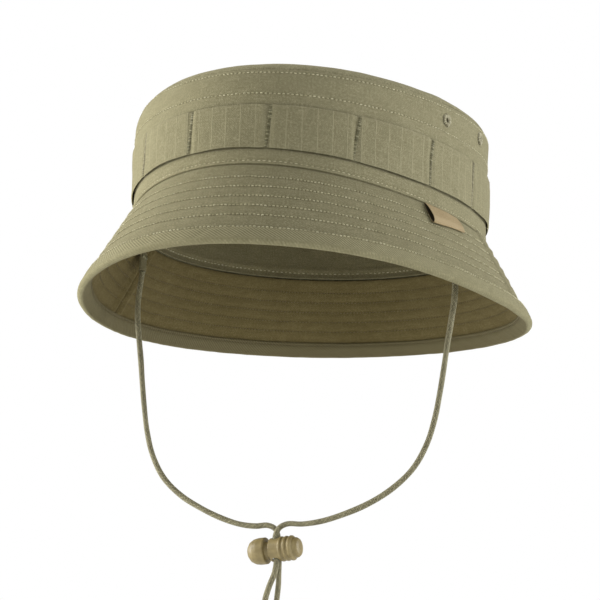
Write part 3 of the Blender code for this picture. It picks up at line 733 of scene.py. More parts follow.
def smooth_curve(points, per_span=24):
    """A centripetal curve through the points."""
    ext = [points[0] * 2 - points[1]] + points + [points[-1] * 2 - points[-2]]
    out = []
    for p0, p1, p2, p3 in zip(ext, ext[1:], ext[2:], ext[3:]):
        t1 = (p1 - p0).length ** 0.5
        t2 = t1 + (p2 - p1).length ** 0.5
        t3 = t2 + (p3 - p2).length ** 0.5
        for i in range(per_span):
            t = t1 + (t2 - t1) * i / per_span
            a1 = p0 * ((t1 - t) / t1) + p1 * (t / t1)
            a2 = p1 * ((t2 - t) / (t2 - t1)) + p2 * ((t - t1) / (t2 - t1))
            a3 = p2 * ((t3 - t) / (t3 - t2)) + p3 * ((t - t2) / (t3 - t2))
            b1 = a1 * ((t2 - t) / t2) + a2 * (t / t2)
            b2 = a2 * ((t3 - t) / (t3 - t1)) + a3 * ((t - t1) / (t3 - t1))
            out.append(b1 * ((t2 - t) / (t2 - t1)) + b2 * ((t - t1) / (t2 - t1)))
    out.append(points[-1].copy())
    return out


def even(points, spacing):
    """The same line with evenly spaced points, and the distance along it."""
    p = np.array([tuple(v) for v in points])
    s = np.concatenate([[0], np.cumsum(np.linalg.norm(np.diff(p, axis=0), axis=1))])
    count = max(2, int(round(s[-1] / spacing)) + 1)
    at = np.linspace(0, s[-1], count)
    return np.stack([np.interp(at, s, p[:, k]) for k in range(3)], -1), at


def transport(P):
    """Tangent, normal and binormal along a line, turning as little as possible."""
    T = np.gradient(P, axis=0)
    T /= np.linalg.norm(T, axis=1, keepdims=True)
    N = np.zeros_like(T)
    first = np.cross(T[0], (0.3, 1.0, 0.2))
    N[0] = first / np.linalg.norm(first)
    for i in range(1, len(T)):
        v = N[i - 1] - T[i] * (N[i - 1] @ T[i])
        N[i] = v / np.linalg.norm(v)
    return T, N, np.cross(T, N)


CARRIERS, LAY = 8, 0.0096       # strands of the braid each way, and their lay
smooth_line = smooth_curve(route)
cord_line, cord_at = even(smooth_line, 0.00022)
T, N, B = transport(cord_line)
sides = CARRIERS * 4
phi = np.arange(sides) * TAU / sides
p = CARRIERS * (phi[None, :] / TAU + cord_at[:, None] / LAY)
q = CARRIERS * (phi[None, :] / TAU - cord_at[:, None] / LAY)
p, q = p + 0.125, q + 0.125
fp, fq = p - np.floor(p), q - np.floor(q)
over = (np.floor(p) + np.floor(q)) % 2 < 0.5
across = np.where(over, fp, fq)
length = np.where(over, fq, fp)
height = np.sin(math.pi * across) ** 0.6 * (0.55 + 0.45 * np.sin(math.pi * length))
u_turn = np.floor(np.where(over, p, q)) % CARRIERS
tone = np.random.RandomState(5).uniform(0, 1, (2, CARRIERS))
strand_tone = tone[over.astype(int), u_turn.astype(int)]
# the braid is a little flat and thick or thin from place to place
uneven = 1 + 0.025 * np.sin(cord_at * 97) + 0.02 * np.sin(cord_at * 311 + 1)
radius = (0.00116 + 0.00028 * height) * uneven[:, None]
radius = radius * (1 + 0.035 * np.cos(2 * phi[None, :] + cord_at[:, None] * 60))
ring = (cord_line[:, None, :] + radius[..., None]
        * (np.cos(phi)[None, :, None] * N[:, None, :] + np.sin(phi)[None, :, None] * B[:, None, :]))
uv = np.stack(np.broadcast_arrays(cord_at[:, None], phi[None, :] * 0.0014), -1)
chin_cord = loft("chin_cord_braid", ring, uv=uv, closed=False, sharp=0,
                 attrs={"height": height, "tone": strand_tone,
                        "slant": np.where(over, 1.0, 0.0)})


def braid_stuff():
    n = Nodes("braided_cord", 0.7)
    u, v = n.uv("UVMap")
    h, tone = n.attribute("height"), n.attribute("tone")
    p = n.place()
    fine = n.noise(p, 2400.0, 3.0, 0.7)
    cloudy = n.noise(p, 90.0, 3.0, 0.6)
    k = n.mul(n.add(u, n.mul(v, 1.3)), 9000.0)
    k2 = n.mul(n.add(u, n.mul(v, -1.3)), 9000.0)
    which = n.attribute("slant")
    yarn = n.add(n.mul(n.math("SINE", k), which),
                 n.mul(n.math("SINE", k2), n.add(1.0, n.mul(which, -1.0))))
    value = n.add(n.add(n.mul(tone, 0.25), n.mul(fine, 0.6)), n.mul(cloudy, 0.25))
    colour = n.mix(n.ramp(value, 0.25, 0.60), CORD_DARK, CORD)
    colour = n.mix(n.ramp(value, 0.55, 0.95), colour, CORD_PALE)
    # painted shade in the hollows between the braid's strands
    colour = n.mix(n.ramp(h, 0.22, 0.66, 0.95, 0.0), colour, tuple(c * 0.22 for c in CORD_DARK))
    colour = n.mix(n.ramp(yarn, -1.0, 1.0, 0.25, 0.0), colour, CORD_DARK)
    n.set("Base Color", colour)
    n.set("Roughness", n.ramp(fine, 0.3, 0.7, 0.62, 0.82))
    n.set("Normal", n.bump(n.add(n.mul(yarn, 0.35), fine), 0.00007))
    n.set("Sheen Weight", 0.25)
    n.set("Sheen Roughness", 0.4)
    return n.mat


CORD = lin(156, 150, 116)
CORD_PALE = lin(218, 212, 176)
CORD_DARK = lin(60, 53, 30)
dress(chin_cord, braid_stuff(), "chin_cord", "cord_braid", "chin_cord")

# --------------------------------------------------------------- cord lock
LOCK_FRAME = Matrix.Translation(LOCK) @ Matrix.Rotation(math.pi / 2 - LOCK_TILT, 4, "Y")


def lathe(name, profile, steps=96, fine=0.00030, ribs=None):
    """A turned solid. profile is (radius, height) in millimetres down its outer
    side from one pole to the other; every edge of it is slightly rounded."""
    pts = [Vector((r, z)) for r, z in profile]
    soft = [pts[0]]
    for a, b, c in zip(pts, pts[1:], pts[2:]):
        d0, d1 = a - b, c - b
        turn = d0.angle(-d1, 0.0)
        cut = min(0.30, d0.length * 0.42, d1.length * 0.42)
        if turn < 0.15 or cut < 0.02:
            soft.append(b)
            continue
        p0, p2 = b + d0.normalized() * cut, b + d1.normalized() * cut
        for k in range(4):
            t = k / 3
            soft.append(p0 * (1 - t) ** 2 + b * 2 * t * (1 - t) + p2 * t ** 2)
    soft.append(pts[-1])
    rows = [s for s in soft if s.x > 1e-6]
    phi = np.arange(steps + 1) * TAU / steps
    verts, faces, flat = [], [], []
    for s in rows:
        for a in phi[:-1]:
            verts.append((s.x / 1000 * math.cos(a), s.x / 1000 * math.sin(a), s.y / 1000))
    for i in range(len(rows) - 1):
        for j in range(steps):
            k = (j + 1) % steps
            faces.append((i * steps + j, (i + 1) * steps + j, (i + 1) * steps + k, i * steps + k))
    verts.append((0, 0, soft[0].y / 1000))
    verts.append((0, 0, soft[-1].y / 1000))
    top, low = len(verts) - 2, len(verts) - 1
    last = (len(rows) - 1) * steps
    for j in range(steps):
        k = (j + 1) % steps
        faces.append((top, j, k))
        faces.append((low, last + k, last + j))
    obj = object_from(name, verts, faces, 32.0)
    obj.data.transform(LOCK_FRAME)
    return obj


def cut_with(obj, cutters):
    """Cuts the cutters out of obj for good, and removes them."""
    for cutter in cutters:
        mod = obj.modifiers.new("cut", "BOOLEAN")
        mod.operation, mod.solver, mod.object = "DIFFERENCE", "EXACT", cutter
    graph = bpy.context.evaluated_depsgraph_get()
    done = bpy.data.meshes.new_from_object(obj.evaluated_get(graph),
                                           preserve_all_data_layers=True, depsgraph=graph)
    obj.modifiers.clear()
    obj.data = done
    obj.data.shade_smooth()
    obj.data.set_sharp_from_angle(angle=math.radians(35))
    for cutter in cutters:
        bpy.data.objects.remove(cutter, do_unlink=True)


def pill(name, low, high, half_y):
    """A rounded slot across the lock, between two stations of its axis."""
    r = (high - low) / 2
    mid = (high + low) / 2
    outline = []
    for k in range(17):
        a = -math.pi / 2 + math.pi * k / 16
        outline.append((half_y - r + r * math.cos(a), mid + r * math.sin(a)))
    for k in range(17):
        a = math.pi / 2 + math.pi * k / 16
        outline.append((-(half_y - r) + r * math.cos(a), mid + r * math.sin(a)))
    m = len(outline)
    verts = [(x, y / 1000, z / 1000) for x in (-0.012, 0.012) for y, z in outline]
    faces = [tuple(range(m))[::-1], tuple(range(m, 2 * m))]
    for j in range(m):
        k = (j + 1) % m
        faces.append((j, k, m + k, m + j))
    obj = object_from(name, verts, faces, 0)
    obj.data.transform(LOCK_FRAME)
    return obj


HALF_SLOT = (STRAND_OFF + CORD_D / 2 + GAP) * 1000
BARREL_LOW = -2.9
barrel = lathe("cord_lock_barrel_body", (
    (0, 12.6), (2.6, 12.45), (4.1, 11.8), (4.9, 10.7), (5.0, 9.4), (5.6, 9.0),
    (6.1, 8.5), (6.1, 7.6), (5.5, 7.1), (5.5, 6.5), (6.1, 6.0), (6.1, 5.1), (5.5, 4.6),
    (5.5, 4.0), (6.1, 3.5), (6.1, 2.7), (5.8, 2.3), (5.8, BARREL_LOW + 0.3),
    (5.5, BARREL_LOW), (4.65, BARREL_LOW), (4.65, 10.6), (0, 10.6)))
cut_with(barrel, [pill("cut_barrel", -1.85, 1.85, HALF_SLOT + 0.35)])
dress(barrel, M_PLASTIC, "cord_lock", "lock_plastic", "cord_lock_barrel")

button = lathe("cord_lock_button_head", (
    (0, 3.7), (2.6, 3.7), (2.6, 7.6), (4.1, 7.6), (4.4, 7.3), (4.4, -5.3), (6.2, -5.3),
    (6.5, -5.7), (6.5, -9.0), (6.1, -11.2), (5.0, -13.2), (3.2, -14.5), (1.3, -15.0),
    (0, -15.05)))
cut_with(button, [pill("cut_button", -4.3, 1.85, HALF_SLOT + 0.1)])
dress(button, M_PLASTIC, "lock_button", "lock_plastic", "cord_lock_button")

turns, per_turn, coil_low, coil_high = 5, 40, 4.3, 10.1
t = np.arange(turns * per_turn + 1) / per_turn
# the end turns lie close, as ground springs do
rise = coil_low + (coil_high - coil_low) * (t / turns + 0.035 * np.sin(TAU * t / turns))
coil = np.stack([2.1 * np.cos(TAU * t), 2.1 * np.sin(TAU * t), rise], -1) / 1000
coil = np.array([tuple(LOCK_FRAME @ Vector(c)) for c in coil])
T, N, B = transport(coil)
phi = np.arange(12) * TAU / 12
ring = coil[:, None, :] + 0.0002 * (np.cos(phi)[None, :, None] * N[:, None, :]
                                    + np.sin(phi)[None, :, None] * B[:, None, :])
spring = loft("cord_lock_spring_wire", ring, closed=False, sharp=50)
dress(spring, M_WIRE, "cord_lock", "spring_wire", "cord_lock_spring")
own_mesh(spring)


# --------------------------------------------------------------------- crown
def ring_s(count):
    """Even places around the hat; the last repeats the first."""
    return -AROUND / 2 + AROUND * np.arange(count + 1)[:, None] / count


def maps(s, along, share):
    """The two sets of coordinates of a piece, in metres and in (turn, share)."""
    s, along, share = np.broadcast_arrays(s, along, share)
    return np.stack([s, along], -1), np.stack([s / AROUND, share], -1)


COUNT = 420
s = ring_s(COUNT)
a = ang(s)
low = share_at(a, seam_z(a) + 0.0003)
high = TIP_SEAM + 0.00012 / (top_z(a) - seam_z(a))
tall = top_z(a) - seam_z(a)
f_out = np.concatenate([np.linspace(0, 0.075, 11)[:-1], np.linspace(0.075, 1, 66),
                        np.linspace(0.1441, 0.1723, 11), np.linspace(0.6031, 0.6227, 8)])
f_out = np.sort(f_out)[None, :]
share_out = low + (high - low) * f_out
rise = share_out * tall
# the turned-under edge is a soft ridge, drawn in by the topstitching above it
edge = (-0.00036 * bell(rise, 0.00035) + 0.00044 * bell(rise - 0.0008, 0.00060)
        - 0.00016 * bell(rise - 0.00185, 0.00050) + 0.00022 * bell(rise - 0.0034, 0.0016))
u = s / AROUND
top_turn = -0.00030 * bell((share_out - high) * tall, 0.0005)
gather = 0.00010 * lattice(u, np.clip(rise / 0.01, 0, 1), 230, 6, 51) * bell(rise - 0.002, 0.0025)
weight = step(rise, 0.0008, 0.004)
off_out = edge + top_turn + gather + crown_pucker(s, share_out) * weight
outer = wall(s, share_out, off_out)
f_in = np.linspace(1, 0, 34)[None, :]
share_in = low + (high - low) * f_in
inner = wall(s, share_in, -WALL_THICK + 0.0 * share_in)
P = np.concatenate([outer, inner], 1)
share = np.concatenate([share_out, share_in], 1)
uv, rows = maps(s, share * tall, share)
u2 = np.concatenate([u + 0 * share_out, u + 0 * share_in], 1)
# paler along the turned-under edge, worn and with a painted highlight on its ridge; painted shade in the
# seam's line, under the topstitching, under the band's lower edge, above its upper edge and on the inner
# face
wear = np.concatenate([0.85 * bell(rise - 0.0008, 0.00042)
                       * (0.6 + 0.4 * lattice(u, 0 * rise, 160, 1, 52)), 0 * share_in], 1)
shade = np.concatenate([0.9 * bell(rise, 0.00028) + 0.12 * bell(rise - 0.00185, 0.0005)
                        + 0.95 * bell((share_out - BAND_LOW) * tall + 0.00025, 0.00050)
                        + 0.70 * bell((share_out - BAND_HIGH) * tall - 0.00020, 0.00040),
                        0.30 + 0 * share_in], 1)
crown = loft("crown_wall_cloth", P, uv, rows, attrs={"wear": wear, "shade": shade})


def eyelet_cutter(name, depth):
    verts, faces = [], []
    for side in (1, -1):
        for degrees, sh in EYELETS:
            a0 = math.radians(degrees) * side
            centre = Vector(wall(dist(a0), sh, -0.001).tolist())
            turn = Vector(outward(np.float64(a0)).tolist()).to_track_quat("Z", "Y").to_matrix()
            start = len(verts)
            m = 24
            for z in (-depth, depth):
                for k in range(m):
                    f = TAU * k / m
                    verts.append(tuple(centre + turn @ Vector(
                        (EYELET_HOLE * math.cos(f), EYELET_HOLE * math.sin(f), z))))
            faces.append(tuple(start + k for k in range(m))[::-1])
            faces.append(tuple(start + m + k for k in range(m)))
            for k in range(m):
                j = (k + 1) % m
                faces.append((start + k, start + j, start + m + j, start + m + k))
    return object_from(name, verts, faces, 0)


cut_with(crown, [eyelet_cutter("cut_crown", 0.004)])
dress(crown, M_CROWN, "hat", "crown_cloth", "crown_wall")

# the tip, from its middle out over its soft shoulder and back underneath
a = ang(s)


def tip_soft(x, y):
    """The top's cloth isn't quite taut: low, wide swells of half a millimetre."""
    return (0.00035 * np.sin(x * 71 + 0.6) * np.cos(y * 53 - 0.4)
            + 0.00022 * np.sin(x * 133 - y * 88 + 1.7)
            + 0.00016 * np.cos(x * 61 + y * 171 + 0.3))


def shoulder_line(part, off, level_cut=0.0):
    """Rings of the shoulder from its top (1) to the tip's sewn edge (0)."""
    inwards, high_ = shoulder(a)
    z0 = seam_z(a) * (1 - TIP_SEAM) + top_z(a) * TIP_SEAM + GAP - 0.0001
    first = np.arcsin((z0 - top_z(a) - SHOULDER_RISE + high_) / high_)
    turn = first + (math.pi / 2 - first) * part
    x = inwards * (1 - np.cos(turn)) - off * np.where(part > 0, np.cos(turn), 1.0)
    z = top_z(a) + SHOULDER_RISE - high_ + high_ * np.sin(turn)
    z = z + off * np.where(part > 0, np.sin(turn), 0.0)
    base = np.stack([HALF_WIDTH * (1 + WALL_FLARE) * np.sin(a) + 0 * turn,
                     -HALF_LENGTH * (1 + WALL_FLARE) * np.cos(a) + 0 * turn, 0 * turn], -1)
    out = base - outward(a + 0 * turn) * x[..., None]
    out[..., 2] = z
    return out


def tip_line(ks, drop):
    """Rings of the tip, ks of the way out to the shoulder's top."""
    rim = shoulder_line(np.ones((1, 1)), np.zeros((1, 1)))
    t = np.clip((ks - TIP_FLAT) / (1 - TIP_FLAT), 0, 1)
    fall = t * t * (3 - 2 * t)
    x, y = rim[..., 0] * ks, rim[..., 1] * ks
    z = TIP_HEIGHT + (rim[..., 2] - TIP_HEIGHT) * fall - drop
    z = z + tip_soft(x, y) * np.clip(1.0 - ks, 0, 1) ** 0.7
    return np.stack([x, y, z], -1)


ks = np.linspace(0.02, 1.0, 52)[None, :]
parts = np.concatenate([np.linspace(1, 0.12, 17)[1:], np.linspace(0.12, 0, 7)[1:]])[None, :]
top = tip_line(ks, 0.0)
ease = 1 - parts
swell = (0.00018 * lattice(s / AROUND, parts, 46, 2, 62) * np.sin(math.pi * np.clip(ease, 0, 1))
         + 0.00008 * lattice(s / AROUND, 0 * parts, 150, 1, 61) * ease)
outer = np.concatenate([top, shoulder_line(parts, swell - 0.00030 * bell(parts, 0.03))], 1)
under_parts = np.array([[0.0, 0.25, 0.5, 0.75, 1.0]])
ku = np.linspace(0.97, 0.02, 26)[None, :]
P = np.concatenate([outer, shoulder_line(under_parts, -TIP_THICK + 0 * under_parts),
                    tip_line(ku, TIP_THICK)], 1)


def polar_cap(name, P, attrs=None):
    """A closed body from rings that shrink to a pole at each end."""
    n, m = P.shape[0] - 1, P.shape[1]
    verts = P[:n].transpose(1, 0, 2).reshape(-1, 3)
    first, last = P[:n, 0].mean(0), P[:n, -1].mean(0)
    verts = np.concatenate([verts, [first, last]])
    I, J = np.meshgrid(np.arange(m - 1), np.arange(n), indexing="ij")
    K = (J + 1) % n
    quads = np.stack([I * n + J, (I + 1) * n + J, (I + 1) * n + K, I * n + K], -1).reshape(-1, 4)
    flip = volume(verts, quads) < 0
    if flip:
        quads = quads[:, ::-1]
    faces = quads.tolist()
    for j in range(n):
        k = (j + 1) % n
        f0, f1 = (m * n, j, k), (m * n + 1, (m - 1) * n + k, (m - 1) * n + j)
        faces += [f0[::-1], f1[::-1]] if flip else [f0, f1]
    obj = object_from(name, verts, faces, 45.0)
    mesh = obj.data
    layer = mesh.uv_layers.new(name="UVMap")
    loops = np.empty(len(mesh.loops), np.int32)
    mesh.loops.foreach_get("vertex_index", loops)
    layer.data.foreach_set("uv", np.ascontiguousarray(verts[loops][:, :2], np.float32).ravel())
    for title, values in (attrs or {}).items():
        flat = np.broadcast_to(values, (P.shape[0], m))[:n].T.reshape(-1)
        at = mesh.attributes.new(title, "FLOAT", "POINT")
        at.data.foreach_set("value", np.ascontiguousarray(
            np.concatenate([flat, [0, 0]]), np.float32))
    return obj


n_out = outer.shape[1]
# painted light along the shoulder, and painted shade at the tip's sewn edge and on its inside
wear = np.zeros(P.shape[:2])
wear[:, ks.shape[1] + 3:n_out - 7] = 0.10
shade = np.zeros(P.shape[:2])
shade[:, n_out - 1] = 0.45
shade[:, n_out:] = 0.30
tip = polar_cap("crown_tip_cloth", P, {"wear": wear, "shade": shade})
dress(tip, M_TIP, "hat", "crown_cloth", "crown_tip")

# ------------------------------------------------- tape behind the eyelets
s2 = ring_s(300)
a2 = ang(s2)
tall2 = top_z(a2) - seam_z(a2)


def flat_tape(name, lo, hi, off, thick, mat, slot, node, seed, bow=0.0, n_across=18):
    """A sewn tape inside the crown; lo and hi are shares of the height."""
    f = np.linspace(0, 1, n_across)[None, :]
    edge_round = 0.00018 * (bell(f, 0.04) + bell(1 - f, 0.04))
    sh = lo + (hi - lo) * f
    wobble = 0.00018 * lattice(s2 / AROUND, f, 90, 3, seed)
    out_face = wall(s2, sh, off - edge_round)
    in_off = off - thick + edge_round + np.minimum(wobble, 0.0001) - bow * (1 - f)
    in_face = wall(s2, sh[:, ::-1], in_off[:, ::-1])
    P = np.concatenate([out_face, in_face], 1)
    shr = np.concatenate([sh, sh[:, ::-1]], 1)
    uv, rows = maps(s2, shr * tall2, shr)
    wear = np.concatenate([0 * sh, (0.4 * (bell(f, 0.05) + bell(1 - f, 0.05)) + 0 * s2)[:, ::-1]], 1)
    obj = loft(name, P, uv, rows, attrs={"wear": wear})
    return obj


tape = flat_tape("crown_facing_tape_cloth", TAPE_LOW + 0 * s2, TAPE_HIGH + 0 * s2,
                 -WALL_THICK - GAP, 0.0006, M_TAPE, "lining_cloth", "crown_facing_tape", 71)
cut_with(tape, [eyelet_cutter("cut_tape", 0.004)])
dress(tape, M_TAPE, "hat", "lining_cloth", "crown_facing_tape")

# sweatband: a folded band sewn in at the seam, its upper edge free
f = np.linspace(0, 1, 34)[None, :]
lo_z = seam_z(a2) - 0.0006
hi_z = seam_z(a2) + SWEATBAND_HEIGHT + 0.00035 * lattice(s2 / AROUND, 0 * s2, 21, 1, 72)
z_of = lo_z + (hi_z - lo_z) * f
sh = share_at(a2, z_of)
rise2 = z_of - seam_z(a2)
fold_top = np.sqrt(np.clip(1 - np.clip((f - 0.965) / 0.035, 0, 1) ** 2, 0, 1))
thick = SWEATBAND_THICK * (0.30 + 0.70 * fold_top)
off0 = -WALL_THICK - GAP
stand = -0.00075 * step(f, 0.55, 1.0) * (0.5 + 0.5 * lattice(s2 / AROUND, f, 17, 1, 73))
out_face = wall(s2, sh, off0 + stand - 0.00018 * (1 - fold_top))
ribs = -0.00022 * (bell(rise2 - 0.0258, 0.0007) + bell(rise2 - 0.0022, 0.0007))
puff = (0.00022 * lattice(s2 / AROUND, f, 75, 5, 74) + 0.00012 * lattice(s2 / AROUND, f, 190, 9, 75))
in_off = off0 + stand - thick - ribs + np.minimum(puff, 0.00005) - 0.0003 * bell(rise2 - 0.004, 0.0016)
in_face = wall(s2, sh[:, ::-1], in_off[:, ::-1])
P = np.concatenate([out_face, in_face], 1)
shr = np.concatenate([rise2, rise2[:, ::-1]], 1)
uv, rows = maps(s2, shr, shr)
wear = np.concatenate([0 * sh, (0.45 * bell(f - 1.0, 0.03) + 0.12 + 0 * s2)[:, ::-1]], 1)
# painted shade on the face against the crown and low down by the seam
shade = np.concatenate([0.3 + 0 * sh, (0.5 * bell(rise2 - 0.0002, 0.0012))[:, ::-1]], 1)
sweat = loft("sweatband_cloth", P, uv, rows, attrs={"wear": wear, "shade": shade})
dress(sweat, M_SWEAT, "hat", "lining_cloth", "sweatband")


def sewn_row(name, place, count, phase, mat, slot, rad=0.00023, fill=0.58, lift=0.00016,
             sink=0.00022, jitter=0.00012, seed=1, s0=None, s1=None, sides=6):
    """A row of lockstitches on a surface. place(s, off) gives the surface's points."""
    rng = np.random.RandomState(seed)
    i = np.arange(count)
    if s0 is not None:
        centre = (i - phase) / count * AROUND
        centre = (centre + AROUND / 2) % AROUND - AROUND / 2
        inside = (centre > s0) & (centre < s1)
        i = i[inside]
    n = len(i)
    half = fill / 2 * (1 + rng.uniform(-0.10, 0.06, (n, 1)))
    q = np.linspace(-1, 1, 7)[None, :]
    mid = (i[:, None] + 0.5 - phase + rng.uniform(-0.05, 0.05, (n, 1)))
    s = (mid + q * half) / count * AROUND
    arch = np.sqrt(np.clip(1 - np.abs(q) ** 3.2, 0, 1))
    off = -sink + (lift + sink) * arch + rng.uniform(-0.00004, 0.00004, (n, 1))
    side = rng.uniform(-1, 1, (n, 1)) * jitter + rng.uniform(-1, 1, (n, 1)) * jitter * q * 0.8
    C = place(s, off, side)
    up = place(s, off + 0.0005, side) - C
    up /= np.linalg.norm(up, axis=-1, keepdims=True)
    radius = rad * np.array([0.45, 0.85, 1.0, 1.05, 1.0, 0.85, 0.45])[None, :]
    return threads(name, C, up, radius, sides)


def join(name, objects):
    """One piece from several that share a material."""
    target = objects[0]
    if len(objects) > 1:
        with bpy.context.temp_override(active_object=target, object=target,
                                       selected_objects=objects,
                                       selected_editable_objects=objects):
            bpy.ops.object.join()
    target.name = name
    target.data.name = name
    return target


def crown_place(share, lift_of=None):
    def place(s, off, side):
        a = ang(s)
        tall = top_z(a) - seam_z(a)
        sh = share + side / tall
        return wall(s, sh, off + crown_pucker(s, sh) * 0.9)
    return place


def topstitch_place(s, off, side):
    a = ang(s)
    tall = top_z(a) - seam_z(a)
    z = 0.00185 + side
    return wall(s, z / tall, off - 0.00006)


crown_rows = [sewn_row("r", crown_place(CROWN_ROWS[0]), CROWN_STITCHES, 0.0, M_THREAD, "thread",
                       seed=81),
              sewn_row("r", crown_place(CROWN_ROWS[1]), CROWN_STITCHES, 0.5, M_THREAD, "thread",
                       seed=82),
              sewn_row("r", topstitch_place, 236, 0.0, M_THREAD, "thread", seed=83,
                       rad=0.00017, lift=0.00010)]
dress(join("crown_stitching", crown_rows), M_THREAD, "hat", "thread")


def inside_place(share, depth):
    def place(s, off, side):
        a = ang(s)
        tall = top_z(a) - seam_z(a)
        return wall(s, share + side / tall, -depth - off)
    return place


def sweat_place(rise, depth):
    def place(s, off, side):
        a = ang(s)
        tall = top_z(a) - seam_z(a)
        z = rise + side
        f = (rise + 0.0006) / (SWEATBAND_HEIGHT + 0.0006)
        st = -0.00075 * step(f, 0.55, 1.0) * (0.5 + 0.5 * lattice(s / AROUND, f, 17, 1, 73))
        return wall(s, z / tall, -depth - off + st)
    return place


inner_rows = [sewn_row("r", inside_place(CROWN_ROWS[0], 0.0018), CROWN_STITCHES, 0.5, M_THREAD,
                       "thread", seed=84, rad=0.00018),
              sewn_row("r", inside_place(CROWN_ROWS[1], 0.0018), CROWN_STITCHES, 0.0, M_THREAD,
                       "thread", seed=85, rad=0.00018),
              sewn_row("r", sweat_place(0.0258, 0.00222), 222, 0.0, M_THREAD, "thread", seed=86,
                       rad=0.00019),
              sewn_row("r", sweat_place(0.0022, 0.00225), 236, 0.5, M_THREAD, "thread", seed=87,
                       rad=0.00019)]
dress(join("inside_stitching", inner_rows), M_THREAD, "hat", "thread")

# ----------------------------------------------------------------- loop band
tacks = np.array([t / 1000 for t in TACKS_MM])
ends = np.concatenate([tacks, [tacks[0] + AROUND]])
loops = np.random.RandomState(91).uniform(0.80, 1.25, len(tacks))


def band_x(s):
    """Which loop of the band, how far along it from 0 to 1, and metres to the
    nearest tack."""
    s = np.asarray(s, float)
    w = (s - tacks[0]) % AROUND + tacks[0]
    i = np.clip(np.searchsorted(ends, w, side="right") - 1, 0, len(tacks) - 1)
    x = (w - ends[i]) / (ends[i + 1] - ends[i])
    near = np.minimum(w - ends[i], ends[i + 1] - w)
    return i, x, near


def band_off(s, f):
    """How far the band's back stands off the wall; f is 0 at its lower edge."""
    i, x, near = band_x(s)
    arch = np.sin(math.pi * np.clip(x, 0, 1)) ** 0.75
    bulge = BAND_BULGE * loops[i] * arch
    top, low = BAND_TOP_OFF + bulge * 0.62, BAND_LOW_OFF + bulge * 1.05
    bow = 0.00012 * np.sin(math.pi * f) * arch
    lip = 0.00010 * bell(f, 0.10) * arch
    # the tack sinks into the cloth and lifts it either side
    sunk = -0.00036 * bell(near, 0.0015) + 0.00026 * bell(near - 0.0028, 0.0014)
    return low + (top - low) * f + bow + lip + sunk


s3 = ring_s(596)
a3 = ang(s3)
tall3 = top_z(a3) - seam_z(a3)
f = np.linspace(0, 1, 30)[None, :]
_, _, near3 = band_x(s3)
u3 = s3 / AROUND
low_edge = BAND_LOW + (0.00022 * lattice(u3, 0 * s3, 33, 1, 92)
                       + 0.00030 * bell(near3, 0.002)) / tall3
high_edge = BAND_HIGH + (0.00018 * lattice(u3, 0 * s3, 33, 1, 93)
                         - 0.00030 * bell(near3, 0.002)) / tall3
sh = low_edge + (high_edge - low_edge) * f
soft = (0.00014 * lattice(u3, f, 71, 5, 94) + 0.00007 * lattice(u3, f, 210, 8, 95))
face = band_off(s3, f) + BAND_THICK + soft * (0.3 + 0.7 * np.sin(math.pi * f))
roll = 0.00032 * (bell(f, 0.018) + bell(1 - f, 0.018))
edge_groove = 0.0
outer = wall(s3, sh, face - roll)
backs = np.linspace(1, 0, 12)[None, :]
sh_b = low_edge + (high_edge - low_edge) * backs
inner = wall(s3, sh_b, band_off(s3, backs) + 0.00012 * (bell(backs, 0.05) + bell(1 - backs, 0.05)))
# rounded folds along both edges
fold_hi = wall(s3, high_edge + 0.00018 / tall3, band_off(s3, 1.0 + 0 * s3) + BAND_THICK * 0.5)
fold_lo = wall(s3, low_edge - 0.00018 / tall3, band_off(s3, 0 * s3) + BAND_THICK * 0.5)
P = np.concatenate([outer, fold_hi, inner, fold_lo], 1)
shr = np.concatenate([sh, high_edge, sh_b, low_edge], 1)
uv, rows = maps(s3, shr * tall3, shr)
# paler along the folded edges, worn and catching the light, with a painted highlight where the cloth
# lifts beside each tack; painted shade at the tacks, on the back and in the lower fold
band_wear_and_highlight = 0.30 * (bell(f, 0.03) + 0.8 * bell(1 - f, 0.03)) + 0.40 * bell(near3 - 0.0024, 0.0009)
dark = 0.16 * bell(near3, 0.0014) + 0 * f
wear = np.concatenate([band_wear_and_highlight, 0.3 + 0 * s3, 0 * sh_b, 0.2 + 0 * s3], 1)
shade = np.concatenate([dark, 0 * s3, 0.35 + 0 * sh_b, 0.2 + 0 * s3], 1)
band = loft("loop_band_cloth", P, uv, rows, attrs={"wear": wear, "shade": shade})
dress(band, M_BAND, "hat", "band_cloth", "loop_band")

